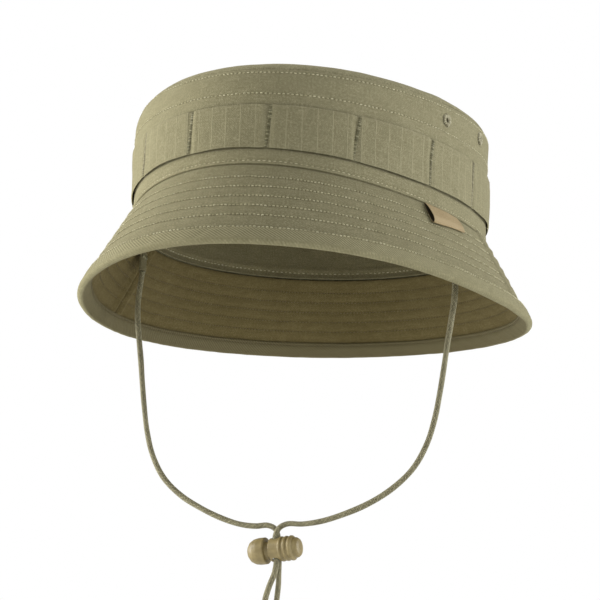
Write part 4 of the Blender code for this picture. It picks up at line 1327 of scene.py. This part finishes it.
# bartacks: thread wound to and fro across the tack, packed close
for number, tack in enumerate(tacks, 1):
    rng = np.random.RandomState(100 + number)
    count = 46
    f0 = (np.arange(count) + 0.5)[:, None] / count
    q = np.linspace(-1, 1, 7)[None, :]
    half = 0.00098 * (1 + rng.uniform(-0.10, 0.10, (count, 1)))
    tilt = 0.0026 + 0.0007 * math.sin(number * 2.3)
    lean = tilt * (f0 - 0.5)
    ss = tack + lean + q * half + rng.uniform(-0.00008, 0.00008, (count, 1))
    slant = np.where(np.arange(count) % 2 == 0, 1, -1)[:, None] * 0.00020
    ff = 0.030 + 0.940 * f0
    a0 = ang(ss)
    tall0 = top_z(a0) - seam_z(a0)
    sh0 = BAND_LOW + (BAND_HIGH - BAND_LOW) * ff + (slant * q) / tall0
    arch = np.sqrt(np.clip(1 - np.abs(q) ** 3, 0, 1))
    off0_ = band_off(tack + 0 * ss, ff + 0 * q) + BAND_THICK + 0.00005 + 0.00032 * arch
    off0_ = off0_ + rng.uniform(0, 0.00008, (count, 1))
    C = wall(ss, sh0, off0_)
    up_ = wall(ss, sh0, off0_ + 0.0005) - C
    up_ /= np.linalg.norm(up_, axis=-1, keepdims=True)
    main = threads("t", C, up_, 0.00018 * np.array([0.6, 0.9, 1, 1, 1, 0.9, 0.6])[None, :])
    # the bed of long threads that the bar is wound over
    g = np.linspace(0.02, 0.98, 26)[None, :]
    lanes = np.array([-0.00055, 0.0, 0.00055])[:, None]
    sB = tack + tilt * (g - 0.5) + lanes
    shB = BAND_LOW + (BAND_HIGH - BAND_LOW) * g + 0 * lanes
    offB = band_off(tack + 0 * sB, g + 0 * lanes) + BAND_THICK + 0.00008
    CB = wall(sB, shB, offB)
    upB = wall(sB, shB, offB + 0.0005) - CB
    upB /= np.linalg.norm(upB, axis=-1, keepdims=True)
    bed = threads("t", CB, upB, 0.00019 + 0 * g)
    name = f"bartack_{number:02d}_thread"
    # the tacks towards the front get the copy with painted shade, the others the copy with painted light
    dress(join(name, [main, bed]), M_TACK_SHADED if -0.040 < tack < 0.120 else M_TACK_LIT, "hat", "thread",
          f"bartack_{number:02d}")

# eyelets: thread wound closely round the hole, over a cord that pads it out
for side, word in ((1, "left"), (-1, "right")):
    for (degrees, sh), where in zip(EYELETS, ("front", "rear")):
        rng = np.random.RandomState(int(degrees * 10) + side)
        a0 = math.radians(degrees) * side
        centre = Vector(wall(dist(a0), sh, 0.0).tolist())
        turn = np.array(Vector(outward(np.float64(a0)).tolist()).to_track_quat("Z", "Y").to_matrix())
        count = 44
        phi = (np.arange(count) + rng.uniform(-0.2, 0.2, count))[:, None] * TAU / count
        q = np.linspace(0, 1, 8)[None, :]
        r_out = 0.00322 * (1 + rng.uniform(-0.13, 0.09, (count, 1)))
        r = 0.00128 + (r_out - 0.00128) * q
        h = 0.00004 + 0.00078 * np.sin(math.pi * np.clip(q * 0.94 + 0.03, 0, 1)) ** 0.7
        h = h + rng.uniform(-0.00012, 0.00010, (count, 1))
        skew = phi + 0.06 * (q - 0.5)
        loc = np.stack([r * np.cos(skew), r * np.sin(skew), h], -1)
        nrm = np.stack([0 * r * np.cos(skew), 0 * r, 1 + 0 * r], -1)
        C = loc @ turn.T + np.array(centre)
        Nm = nrm @ turn.T
        rad = 0.00023 * np.array([0.7, 0.9, 1, 1, 1, 1, 0.9, 0.6])[None, :]
        wound = threads("t", C, Nm, rad)
        phi = np.linspace(0, TAU, 61)[None, :]
        ringC = np.stack([0.0020 * np.cos(phi), 0.0020 * np.sin(phi), 0.00022 + 0 * phi], -1)
        ringC = ringC @ turn.T + np.array(centre)
        ringN = np.broadcast_to(turn[:, 2], ringC.shape)
        pad = threads("t", ringC, ringN, 0.00048 + 0 * phi, 8)
        dress(join(f"eyelet_{word}_{where}_thread", [wound, pad]), M_EYELET, "hat", "thread",
              f"eyelet_{word}_{where}")


# ---------------------------------------------------------------------- brim
def panel_s(which, count):
    """Places along a brim panel, between its two side seams."""
    gap = 0.00010
    s_left, s_right = float(dist(math.radians(BRIM_SEAMS[0]))), float(dist(math.radians(BRIM_SEAMS[1])))
    if which == "front":
        ends = s_left + gap, s_right - gap
    else:
        ends = s_right + gap, s_left + AROUND - gap
    # closer together where the panel turns into its seams
    part = np.linspace(0, 0.009, 30)
    middle = np.linspace(ends[0] + 0.009, ends[1] - 0.009, count - 58)[1:-1]
    return np.concatenate([ends[0] + part, middle, ends[1] - part[::-1]])[:, None], ends


def seam_near(s, ends):
    """Metres to the nearer end of the panel."""
    return np.minimum(s - ends[0], ends[1] - s)


DEEP = PLY + LINING + 2 * GAP          # where the lower ply begins
counts = {"front": 330, "rear": 320}
for panel in ("front", "rear"):
    sp, ends = panel_s(panel, counts[panel])
    ap = ang(sp)
    L = brim_length(ap)
    f = np.linspace(0, 1, 118)[None, :]
    t0, t1 = -0.0006 / L, (L - 0.0018) / L
    t = t0 + (t1 - t0) * f
    near = seam_near(sp, ends)
    fold = -0.00060 * bell(near, 0.0006) + 0.00125 * bell(near - 0.0030, 0.0021)
    # the ply dips under the crown's edge
    tuck = -0.00022 * bell(t * L, 0.0005) + 0.00014 * bell(t * L - 0.0026, 0.0016)
    off = brim_quilt(sp, t) + (fold + tuck) * (1 - step(t, 0.80, 0.9))
    under_binding = step(t, 0.800, 0.815)
    off = off * (1 - under_binding) - 0.00005 * under_binding
    upper = brim(sp, t, off)
    tb = t0 + (t1 - t0) * np.linspace(1, 0, 14)[None, :]
    below = brim(sp, tb, -PLY + 0 * tb)
    P = np.concatenate([upper, below], 1)
    tt = np.concatenate([t, tb], 1)
    uv, rows = maps(sp, tt * L, tt)
    # the ridges between the rows of stitching
    off_row, _ = row_place(t)
    ridge = (0.5 - 0.5 * np.cos(TAU * np.clip(np.abs(off_row), 0, 0.5)))
    ridge = ridge * step(t, 0.14, 0.19) * (1 - step(t, 0.69, 0.77))
    noise_w = 0.5 + 0.5 * lattice(sp / AROUND, t, 130, 14, 141)
    # painted highlight along the ridge beside each side seam
    seam_ridge_highlight = 0.95 * bell(near - 0.0026, 0.0011) * (1 - under_binding)
    wear = np.concatenate([0.14 * ridge * noise_w + seam_ridge_highlight, 0 * tb + 0 * sp], 1)
    # painted shade under the crown's edge, in the side seams and along the binding's edge
    shade = np.concatenate([0.7 * bell(t * L, 0.0005) + 0.30 * bell(near, 0.0005)
                            + 0.28 * bell((t - 0.812) * L, 0.0008), 0.3 + 0 * tb + 0 * sp], 1)
    top_ply = loft(f"brim_upper_{panel}_cloth", P, uv, rows, closed=False,
                   attrs={"wear": wear, "shade": shade})
    dress(top_ply, M_BRIM_SHADED, "hat", "brim_cloth", f"brim_upper_{panel}")

    f = np.linspace(0, 1, 104)[None, :]
    t0, t1 = 0.0004 / L, (L - 0.0018) / L
    t = t0 + (t1 - t0) * f
    tuck = -0.00018 * bell(t * L, 0.0010) + 0.00011 * bell(t * L - 0.0030, 0.0016)
    off = brim_quilt(sp, t, 43) * 0.9 + (fold + tuck) * (1 - step(t, 0.80, 0.9))
    under_binding = step(t, 0.800, 0.815)
    off = off * (1 - under_binding) - 0.00005 * under_binding
    lower = brim(sp, t, -DEEP - PLY - off)
    tb = t0 + (t1 - t0) * np.linspace(1, 0, 14)[None, :]
    above = brim(sp, tb, -DEEP + 0 * tb)
    P = np.concatenate([lower, above], 1)
    tt = np.concatenate([t, tb], 1)
    uv, rows = maps(sp, tt * L, tt)
    off_row, _ = row_place(t)
    ridge = (0.5 - 0.5 * np.cos(TAU * np.clip(np.abs(off_row), 0, 0.5)))
    ridge = ridge * step(t, 0.14, 0.19) * (1 - step(t, 0.69, 0.77))
    wear = np.concatenate([0.10 * ridge + 0 * sp, 0 * tb + 0 * sp], 1)
    # painted shade along the crown seam, in the side seams and along the binding's edge
    shade = np.concatenate([0.7 * bell(t * L, 0.0012) + 0.30 * bell(near, 0.0005)
                            + 0.28 * bell((t - 0.812) * L, 0.0008), 0.3 + 0 * tb + 0 * sp], 1)
    low_ply = loft(f"brim_lower_{panel}_cloth", P, uv, rows, closed=False,
                   attrs={"wear": wear, "shade": shade})
    dress(low_ply, M_UNDER_SHADED, "hat", "brim_under_cloth", f"brim_lower_{panel}")

    # the stiffener: an interlining that lies between the plies, never seen
    f = np.linspace(0, 1, 40)[None, :]
    t0, t1 = 0.0030 / L, (L - 0.0115) / L
    t = t0 + (t1 - t0) * f
    wave = 0.00004 * lattice(sp / AROUND, t, 90, 12, 44)
    P = np.concatenate([brim(sp, t, -PLY - GAP + wave), brim(sp, t[:, ::-1], -PLY - GAP - LINING)], 1)
    tt = np.concatenate([t, t[:, ::-1]], 1)
    uv, rows = maps(sp, tt * L, tt)
    stiff = loft(f"brim_stiffener_{panel}_cloth", P[::2], uv[::2], rows[::2], closed=False,
                 attrs={"wear": 0 * tt[::2], "shade": 0 * tt[::2]})
    dress(stiff, M_LINING, "hat", "interlining", f"brim_stiffener_{panel}")


def brim_place(share, flip, seed=41):
    def place(s, off, side):
        L = brim_length(ang(s))
        t = share + side / L
        relief = brim_quilt(s, t, seed) * 0.9
        if flip:
            return brim(s, t, -DEEP - PLY - relief - off)
        return brim(s, t, relief + off)
    return place


def row_stitches(flip, seed):
    out = []
    for k in range(BRIM_ROW_COUNT):
        share = BRIM_ROW_0 + BRIM_ROW_STEP * k
        # the holes of the upper and lower side are the same ones
        out.append(sewn_row("r", brim_place(share, flip, 43 if flip else 41), BRIM_STITCHES,
                            0.37 * k, M_THREAD, "thread", seed=seed + k, rad=0.00016 if flip else 0.00026,
                            lift=0.00022 if flip else 0.00036, fill=0.56, sides=5))
    return out


dress(join("brim_upper_stitching", row_stitches(False, 151)), M_THREAD, "hat", "thread")
dress(join("brim_lower_stitching", row_stitches(True, 161)), M_UNDER_THREAD_SHADED, "hat", "thread")

# ------------------------------------------------------------- edge binding
sb = ring_s(620)
ab = ang(sb)
Lb = brim_length(ab)
ub = sb / AROUND


def binding_relief(s, t, seed):
    """Drag lines of the bias cloth: slanting, and gathered along the stitches."""
    u = np.asarray(s) / AROUND
    d = (t - BINDING_ROW) * BRIM_LENGTH
    slant = u + t * 0.075
    drag = 0.00016 * lattice(slant, t, 210, 3, seed) + 0.00010 * lattice(slant, t, 420, 2, seed + 1)
    return (drag - 0.00030 * bell(d, 0.00055) + 0.00010 * bell(d + 0.0011, 0.0005)
            + 0.00020 * bell(d - 0.0022, 0.0018))


def binding_side(d_edge, flip):
    """A point of the binding's face, d_edge metres in from the brim's edge."""
    t = (Lb - d_edge) / Lb
    rel = binding_relief(sb, t, 173 if flip else 171)
    inner_turn = -0.00038 * bell(d_edge - BINDING_WIDTH, 0.00045)
    body = 0.00082 + 0.00010 * np.sin(math.pi * np.clip(d_edge / BINDING_WIDTH, 0, 1)) + rel + inner_turn
    return t, body


wander = 0.00018 * lattice(ub, 0 * sb, 45, 1, 175) + 0.00010 * lattice(ub, 0 * sb, 160, 1, 176)
d = (1 - np.linspace(0, 1, 34)[None, :]) * (BINDING_WIDTH + wander - 0.0013) + 0.0013
t_up, body_up = binding_side(d, False)
upper = brim(sb, t_up, body_up)
# round the brim's edge
turn = np.linspace(0, math.pi, 15)[None, 1:-1]
mid = -(DEEP + PLY) / 2
half = (DEEP + PLY) / 2 + 0.00086
edge_w = 0.00008 * lattice(ub, 0 * turn, 190, 1, 177) + 0.00010 * lattice(ub, 0 * turn, 60, 1, 178)
reach = 0.0013 + edge_w
edge = brim(sb, 1.0 + 0 * turn, mid + half * np.cos(turn), extra=-0.0013 + reach * np.sin(turn) ** 0.9)
wander_l = 0.00018 * lattice(ub, 0 * sb, 45, 1, 179)
dl = np.linspace(0, 1, 34)[None, :] * (BINDING_WIDTH + wander_l - 0.0013) + 0.0013
t_lo, body_lo = binding_side(dl, True)
lower = brim(sb, t_lo, -DEEP - PLY - body_lo)
inner_lo = brim(sb, (Lb - np.array([[BINDING_WIDTH - 0.0002, 0.006, 0.0018]])) / Lb,
                -DEEP - PLY - 0.00018 + 0 * sb)
inner_up = brim(sb, (Lb - np.array([[0.0018, 0.006, BINDING_WIDTH - 0.0002]])) / Lb,
                0.00018 + 0 * sb)
P = np.concatenate([upper, edge, lower, inner_lo, inner_up], 1)
t_edge = 1.0 + 0 * turn + 0 * sb
t_in = (Lb - np.array([[BINDING_WIDTH, 0.006, 0.0018]])) / Lb
share = np.concatenate([t_up, t_edge, t_lo, t_in, t_in[:, ::-1]], 1)
lengths = np.concatenate([BINDING_WIDTH - d, BINDING_WIDTH + 0.0026 * turn / math.pi + 0 * sb,
                          BINDING_WIDTH + 0.0026 + dl, 0.026 + 0 * t_in, 0.03 + 0 * t_in], 1)
uv, rows = maps(sb, lengths, share)
rub = 0.5 + 0.5 * lattice(ub, 0 * sb, 240, 1, 181)
# paler along the binding's inner edge and round the brim's edge, worn and with a painted highlight
edge_wear_and_highlight = np.concatenate([0.45 * bell(d - BINDING_WIDTH + 0.0003, 0.0005) * rub + 0.12 + 0 * d,
                            0.35 * np.sin(turn) * rub, 0.10 + 0 * dl + 0 * sb,
                            0 * t_in, 0 * t_in], 1)
# painted shade round the underside of the edge, on the lower face and on the inner faces
painted_shade_b = np.concatenate([0 * d, 0.25 * step(turn, 1.8, 2.8) + 0 * sb, 0.46 + 0.25 * bell(dl - BINDING_WIDTH, 0.0007), 0.4 + 0 * t_in, 0.4 + 0 * t_in], 1)
# painted warm bounce light on the underside
painted_bounce_b = np.concatenate([0 * d, step(turn, 1.9, 2.9) + 0 * sb, 1 + 0 * dl + 0 * sb, 1 + 0 * t_in,
                         1 + 0 * t_in], 1)
rim_b = np.concatenate([1 - step(d, 0.0013, 0.0030), 1 + 0 * turn + 0 * sb,
                        1 - step(dl, 0.0013, 0.0030) + 0 * sb, 0 * t_in, 0 * t_in], 1)
binding = loft("brim_binding_cloth", P, uv, rows, attrs={"wear": edge_wear_and_highlight, "shade": painted_shade_b, "warm": painted_bounce_b, "rim": rim_b})
dress(binding, M_BINDING, "hat", "binding_cloth", "brim_binding")


def binding_place(flip):
    def place(s, off, side):
        L = brim_length(ang(s))
        t = BINDING_ROW + side / L
        rel = binding_relief(s, t, 173 if flip else 171) * 0.9 + 0.00084
        if flip:
            return brim(s, t, -DEEP - PLY - rel - off)
        return brim(s, t, rel + off)
    return place


dress(join("binding_stitching",
           [sewn_row("r", binding_place(False), BINDING_STITCHES, 0.25, M_THREAD, "thread",
                     seed=191, rad=0.00027, lift=0.00030, fill=0.60)]), M_THREAD, "hat", "thread")
dress(join("binding_lower_stitching",
           [sewn_row("r", binding_place(True), BINDING_STITCHES, 0.25, M_UNDER_THREAD_SHADED, "thread",
                     seed=192, rad=0.00018, lift=0.00014, fill=0.58)]),
      M_UNDER_THREAD_SHADED, "hat", "thread")

# ------------------------------------- blank folded tag, sewn into the seam
st = np.linspace(float(dist(math.radians(TAG_FROM))), float(dist(math.radians(TAG_TO))), 40)[:, None]
w = (st - st[0]) / (st[-1] - st[0])
# distance down the brim and height over it, in millimetres, once round the fold
upper_line = np.array([(0.9, 1.75), (2.0, 2.2), (4.0, 2.95), (6.0, 3.45), (8.0, 3.80), (10.0, 3.95),
                       (11.4, 3.80), (12.4, 3.40), (13.1, 2.75), (13.4, 2.1), (13.2, 1.45),
                       (12.5, 0.95), (11.2, 0.66), (9.0, 0.52), (5.0, 0.50), (0.9, 0.50)])
k = np.linspace(0, len(upper_line) - 1, 70)
line = np.stack([np.interp(k, np.arange(len(upper_line)), upper_line[:, c]) for c in (0, 1)], -1)
for _ in range(3):
    line[1:-1] = (line[:-2] + 2 * line[1:-1] + line[2:]) / 4
tangent = np.gradient(line, axis=0)
tangent /= np.linalg.norm(tangent, axis=1, keepdims=True)
inward = np.stack([tangent[:, 1], -tangent[:, 0]], -1)
inner_line = (line + inward * 0.42)[::-1]
outline = np.concatenate([line, inner_line])
flat = (1.0 - 0.45 * w) * 0.74
short = 1.0 - 0.26 * w
sag = 0.25 * np.sin(math.pi * w) + 0.12 * np.sin(w * 9)
x_mm = outline[None, :, 0] * short + 0.12 * np.sin(w * 7 + 0.5)
y_mm = 0.5 + (outline[None, :, 1] - 0.5) * flat
y_mm = y_mm - sag * np.clip((outline[None, :, 1] - 1.2) / 2.4, 0, 1)
P = brim(st + 0 * x_mm, 0 * x_mm, y_mm / 1000, extra=x_mm / 1000)
run = np.concatenate([[0], np.cumsum(np.linalg.norm(np.diff(outline, axis=0), axis=1))]) / 1000
uv, rows = maps(st, run[None, :], run[None, :] * 20)
tag_wear = np.zeros(P.shape[:2])
tag_wear[:, 22:34] = 0.5
# painted shadow: the inner face of the fold near black
tag = loft("label_tag_ribbon", P, uv, rows, closed=False,
           attrs={"wear": tag_wear, "ink": np.concatenate(
               [np.zeros(len(line)), np.full(len(inner_line), 0.93)])[None, :] + 0 * w})
dress(tag, M_TAG, "hat", "tag_ribbon", "label_tag")

# ------------------------------------------------ tabs that hold the strap
LEAN = math.atan2(HALF_WIDTH * math.cos(math.radians(78.9)),
                  HALF_LENGTH * math.sin(math.radians(78.9)))
for side, word in ((1, "left"), (-1, "right")):
    turn = Matrix.Rotation(-side * LEAN, 3, "Z")
    centre = Vector((side * ANCHOR_X, CORD_Y, 0))
    zz = np.linspace(0, 1, 44)
    m = 44
    phi = np.arange(m) * TAU / m
    ring = []
    for f in zz:
        z = ANCHOR_TOP + (ANCHOR_LOW - ANCHOR_TOP) * f
        # a flat folded tape, which swells round the cord's end near its lower edge
        ease = math.sqrt(max(0.0, 1 - max(0.0, (f - 0.95) / 0.05) ** 2)) * 0.35 + 0.65
        ease_t = math.sqrt(max(0.0, 1 - max(0.0, (0.03 - f) / 0.03) ** 2)) * 0.35 + 0.65
        half_w = ANCHOR_WIDTH / 2 * (0.985 + 0.015 * math.cos(f * 9))
        cx = np.sign(np.cos(phi)) * np.abs(np.cos(phi)) ** 0.35
        cy = np.sign(np.sin(phi)) * np.abs(np.sin(phi)) ** 0.55
        yy = cy * 0
        along = cx * half_w
        swell = 1.05 * math.exp(-((f - 0.86) / 0.34) ** 2)
        thick = (ANCHOR_THICK / 2) * (1 + swell * np.exp(-(along / 0.0019) ** 2)) * ease * ease_t
        thick = thick * (1 - 0.30 * math.exp(-((f - 0.29) / 0.09) ** 2) * np.exp(-(along / 0.0042) ** 6))
        across = cy * thick
        pts = [centre + turn @ Vector((float(c), float(l), 0)) + Vector((0, 0, z))
               for c, l in zip(across, along)]
        ring.append([tuple(v) for v in pts])
    P = np.array(ring)
    u = np.cumsum(np.concatenate([[0], np.linalg.norm(np.diff(P[10], axis=0), axis=1)]))
    uvg = np.stack(np.broadcast_arrays(u[None, :], (zz * (ANCHOR_TOP - ANCHOR_LOW))[:, None]), -1)
    # painted shade at the tab's lower end; paler along its folded edges
    shade = 0.5 * bell(zz[:, None] - 1.0, 0.05) + 0 * u[None, :]
    wear = 0.35 * (np.abs(np.cos(phi)) ** 6)[None, :] * np.ones((len(zz), 1))
    tab = loft(f"cord_anchor_{word}_tape", P, uvg, uvg, closed=False,
               attrs={"wear": wear, "shade": shade})
    dress(tab, M_TAB, "hat", "lining_cloth", f"cord_anchor_{word}")
    # the bar of thread across it, on the side of the head
    rng = np.random.RandomState(210 + side)
    count = 20
    inward = turn @ Vector((-side, 0, 0))
    q = np.linspace(-1, 1, 7)[None, :]
    g = (np.arange(count) + 0.5)[:, None] / count - 0.5
    slant = np.where(np.arange(count) % 2 == 0, 1, -1)[:, None] * 0.00012
    y = g * 0.0068 + slant * q
    z = ANCHOR_TOP - 0.0030 + q * 0.00092 + rng.uniform(-0.00006, 0.00006, (count, 1))
    arch = np.sqrt(np.clip(1 - np.abs(q) ** 3, 0, 1))
    x = -side * (ANCHOR_THICK / 2 - 0.00012 + 0.00042 * arch) + 0 * y
    R = np.array(turn)
    loc = np.stack([x, y, z], -1)
    loc2 = loc.copy()
    loc2[..., 2] = 0
    C = loc2 @ R.T + np.array(centre)
    C[..., 2] = z
    Nm = np.broadcast_to(np.array(inward), C.shape)
    bar = threads(f"anchor_tack_{word}_thread", C, Nm,
                  0.00021 * np.array([0.6, 0.9, 1, 1, 1, 0.9, 0.6])[None, :])
    dress(bar, M_TACK_SHADED, "hat", "thread", f"anchor_tack_{word}")


# ------------------------------------------------------------ floor and light
def area(name, place, size, power, aim, colour=(1.0, 1.0, 1.0)):
    light = bpy.data.lights.new(name, "AREA")
    light.shape = "RECTANGLE"
    light.size, light.size_y = size
    light.energy = power
    light.color = colour
    obj = bpy.data.objects.new(name, light)
    obj.location = place
    obj.rotation_mode = "QUATERNION"
    obj.rotation_quaternion = (Vector(place) - Vector(aim)).to_track_quat("Z", "Y")
    bpy.context.scene.collection.objects.link(obj)
    return obj


n = Nodes("floor", 0.85)
grain = n.noise(n.place(), 18.0, 3.0, 0.5)
n.set("Base Color", n.mix(n.ramp(grain, 0.3, 0.7), (0.80, 0.80, 0.79), (0.84, 0.84, 0.83)))
FLOOR_Z = -0.42
floor = object_from("floor", [(-4, -4, FLOOR_Z), (4, -4, FLOOR_Z), (4, 4, FLOOR_Z),
                              (-4, 4, FLOOR_Z)], [(0, 1, 2, 3)], 0)
floor.data.materials.append(n.mat)

MIDDLE = Vector((0, 0, 0.0))
side = Vector((math.cos(YAW), math.sin(YAW), 0))
toward = Vector((math.sin(YAW), -math.cos(YAW), 0))
area("key_left", tuple(MIDDLE - side * 1.15 + toward * -0.10 + Vector((0, 0, 0.18))), (0.9, 1.1),
     19.5, tuple(MIDDLE), (1.0, 0.985, 0.935))
area("key_right", tuple(MIDDLE + side * 1.20 + toward * 0.15 + Vector((0, 0, 0.12))), (0.9, 1.1),
     13.0, tuple(MIDDLE), (0.975, 0.985, 1.0))
area("fill", tuple(MIDDLE - side * 0.45 + toward * 1.30 + Vector((0, 0, 0.35))), (0.8, 0.8), 2.3,
     tuple(MIDDLE))
area("top", tuple(MIDDLE - toward * 0.3 + Vector((0, 0, 1.3))), (1.2, 1.2), 1.1, tuple(MIDDLE))

world = bpy.data.worlds.new("studio")
world.use_nodes = True
tree = world.node_tree
sky = tree.nodes["Background"]
sky.inputs["Color"].default_value = (1.0, 1.0, 1.0, 1.0)
path = tree.nodes.new("ShaderNodeLightPath")
level = tree.nodes.new("ShaderNodeMapRange")
level.inputs["To Min"].default_value = 0.445
level.inputs["To Max"].default_value = 1.0
tree.links.new(path.outputs["Is Camera Ray"], level.inputs["Value"])
tree.links.new(level.outputs[0], sky.inputs["Strength"])
bpy.context.scene.world = world
bpy.context.scene.view_settings.view_transform = "Standard"
bpy.context.scene.view_settings.look = "None"
bpy.context.scene.view_settings.exposure = 0.0
bpy.context.scene.view_settings.gamma = 1.0
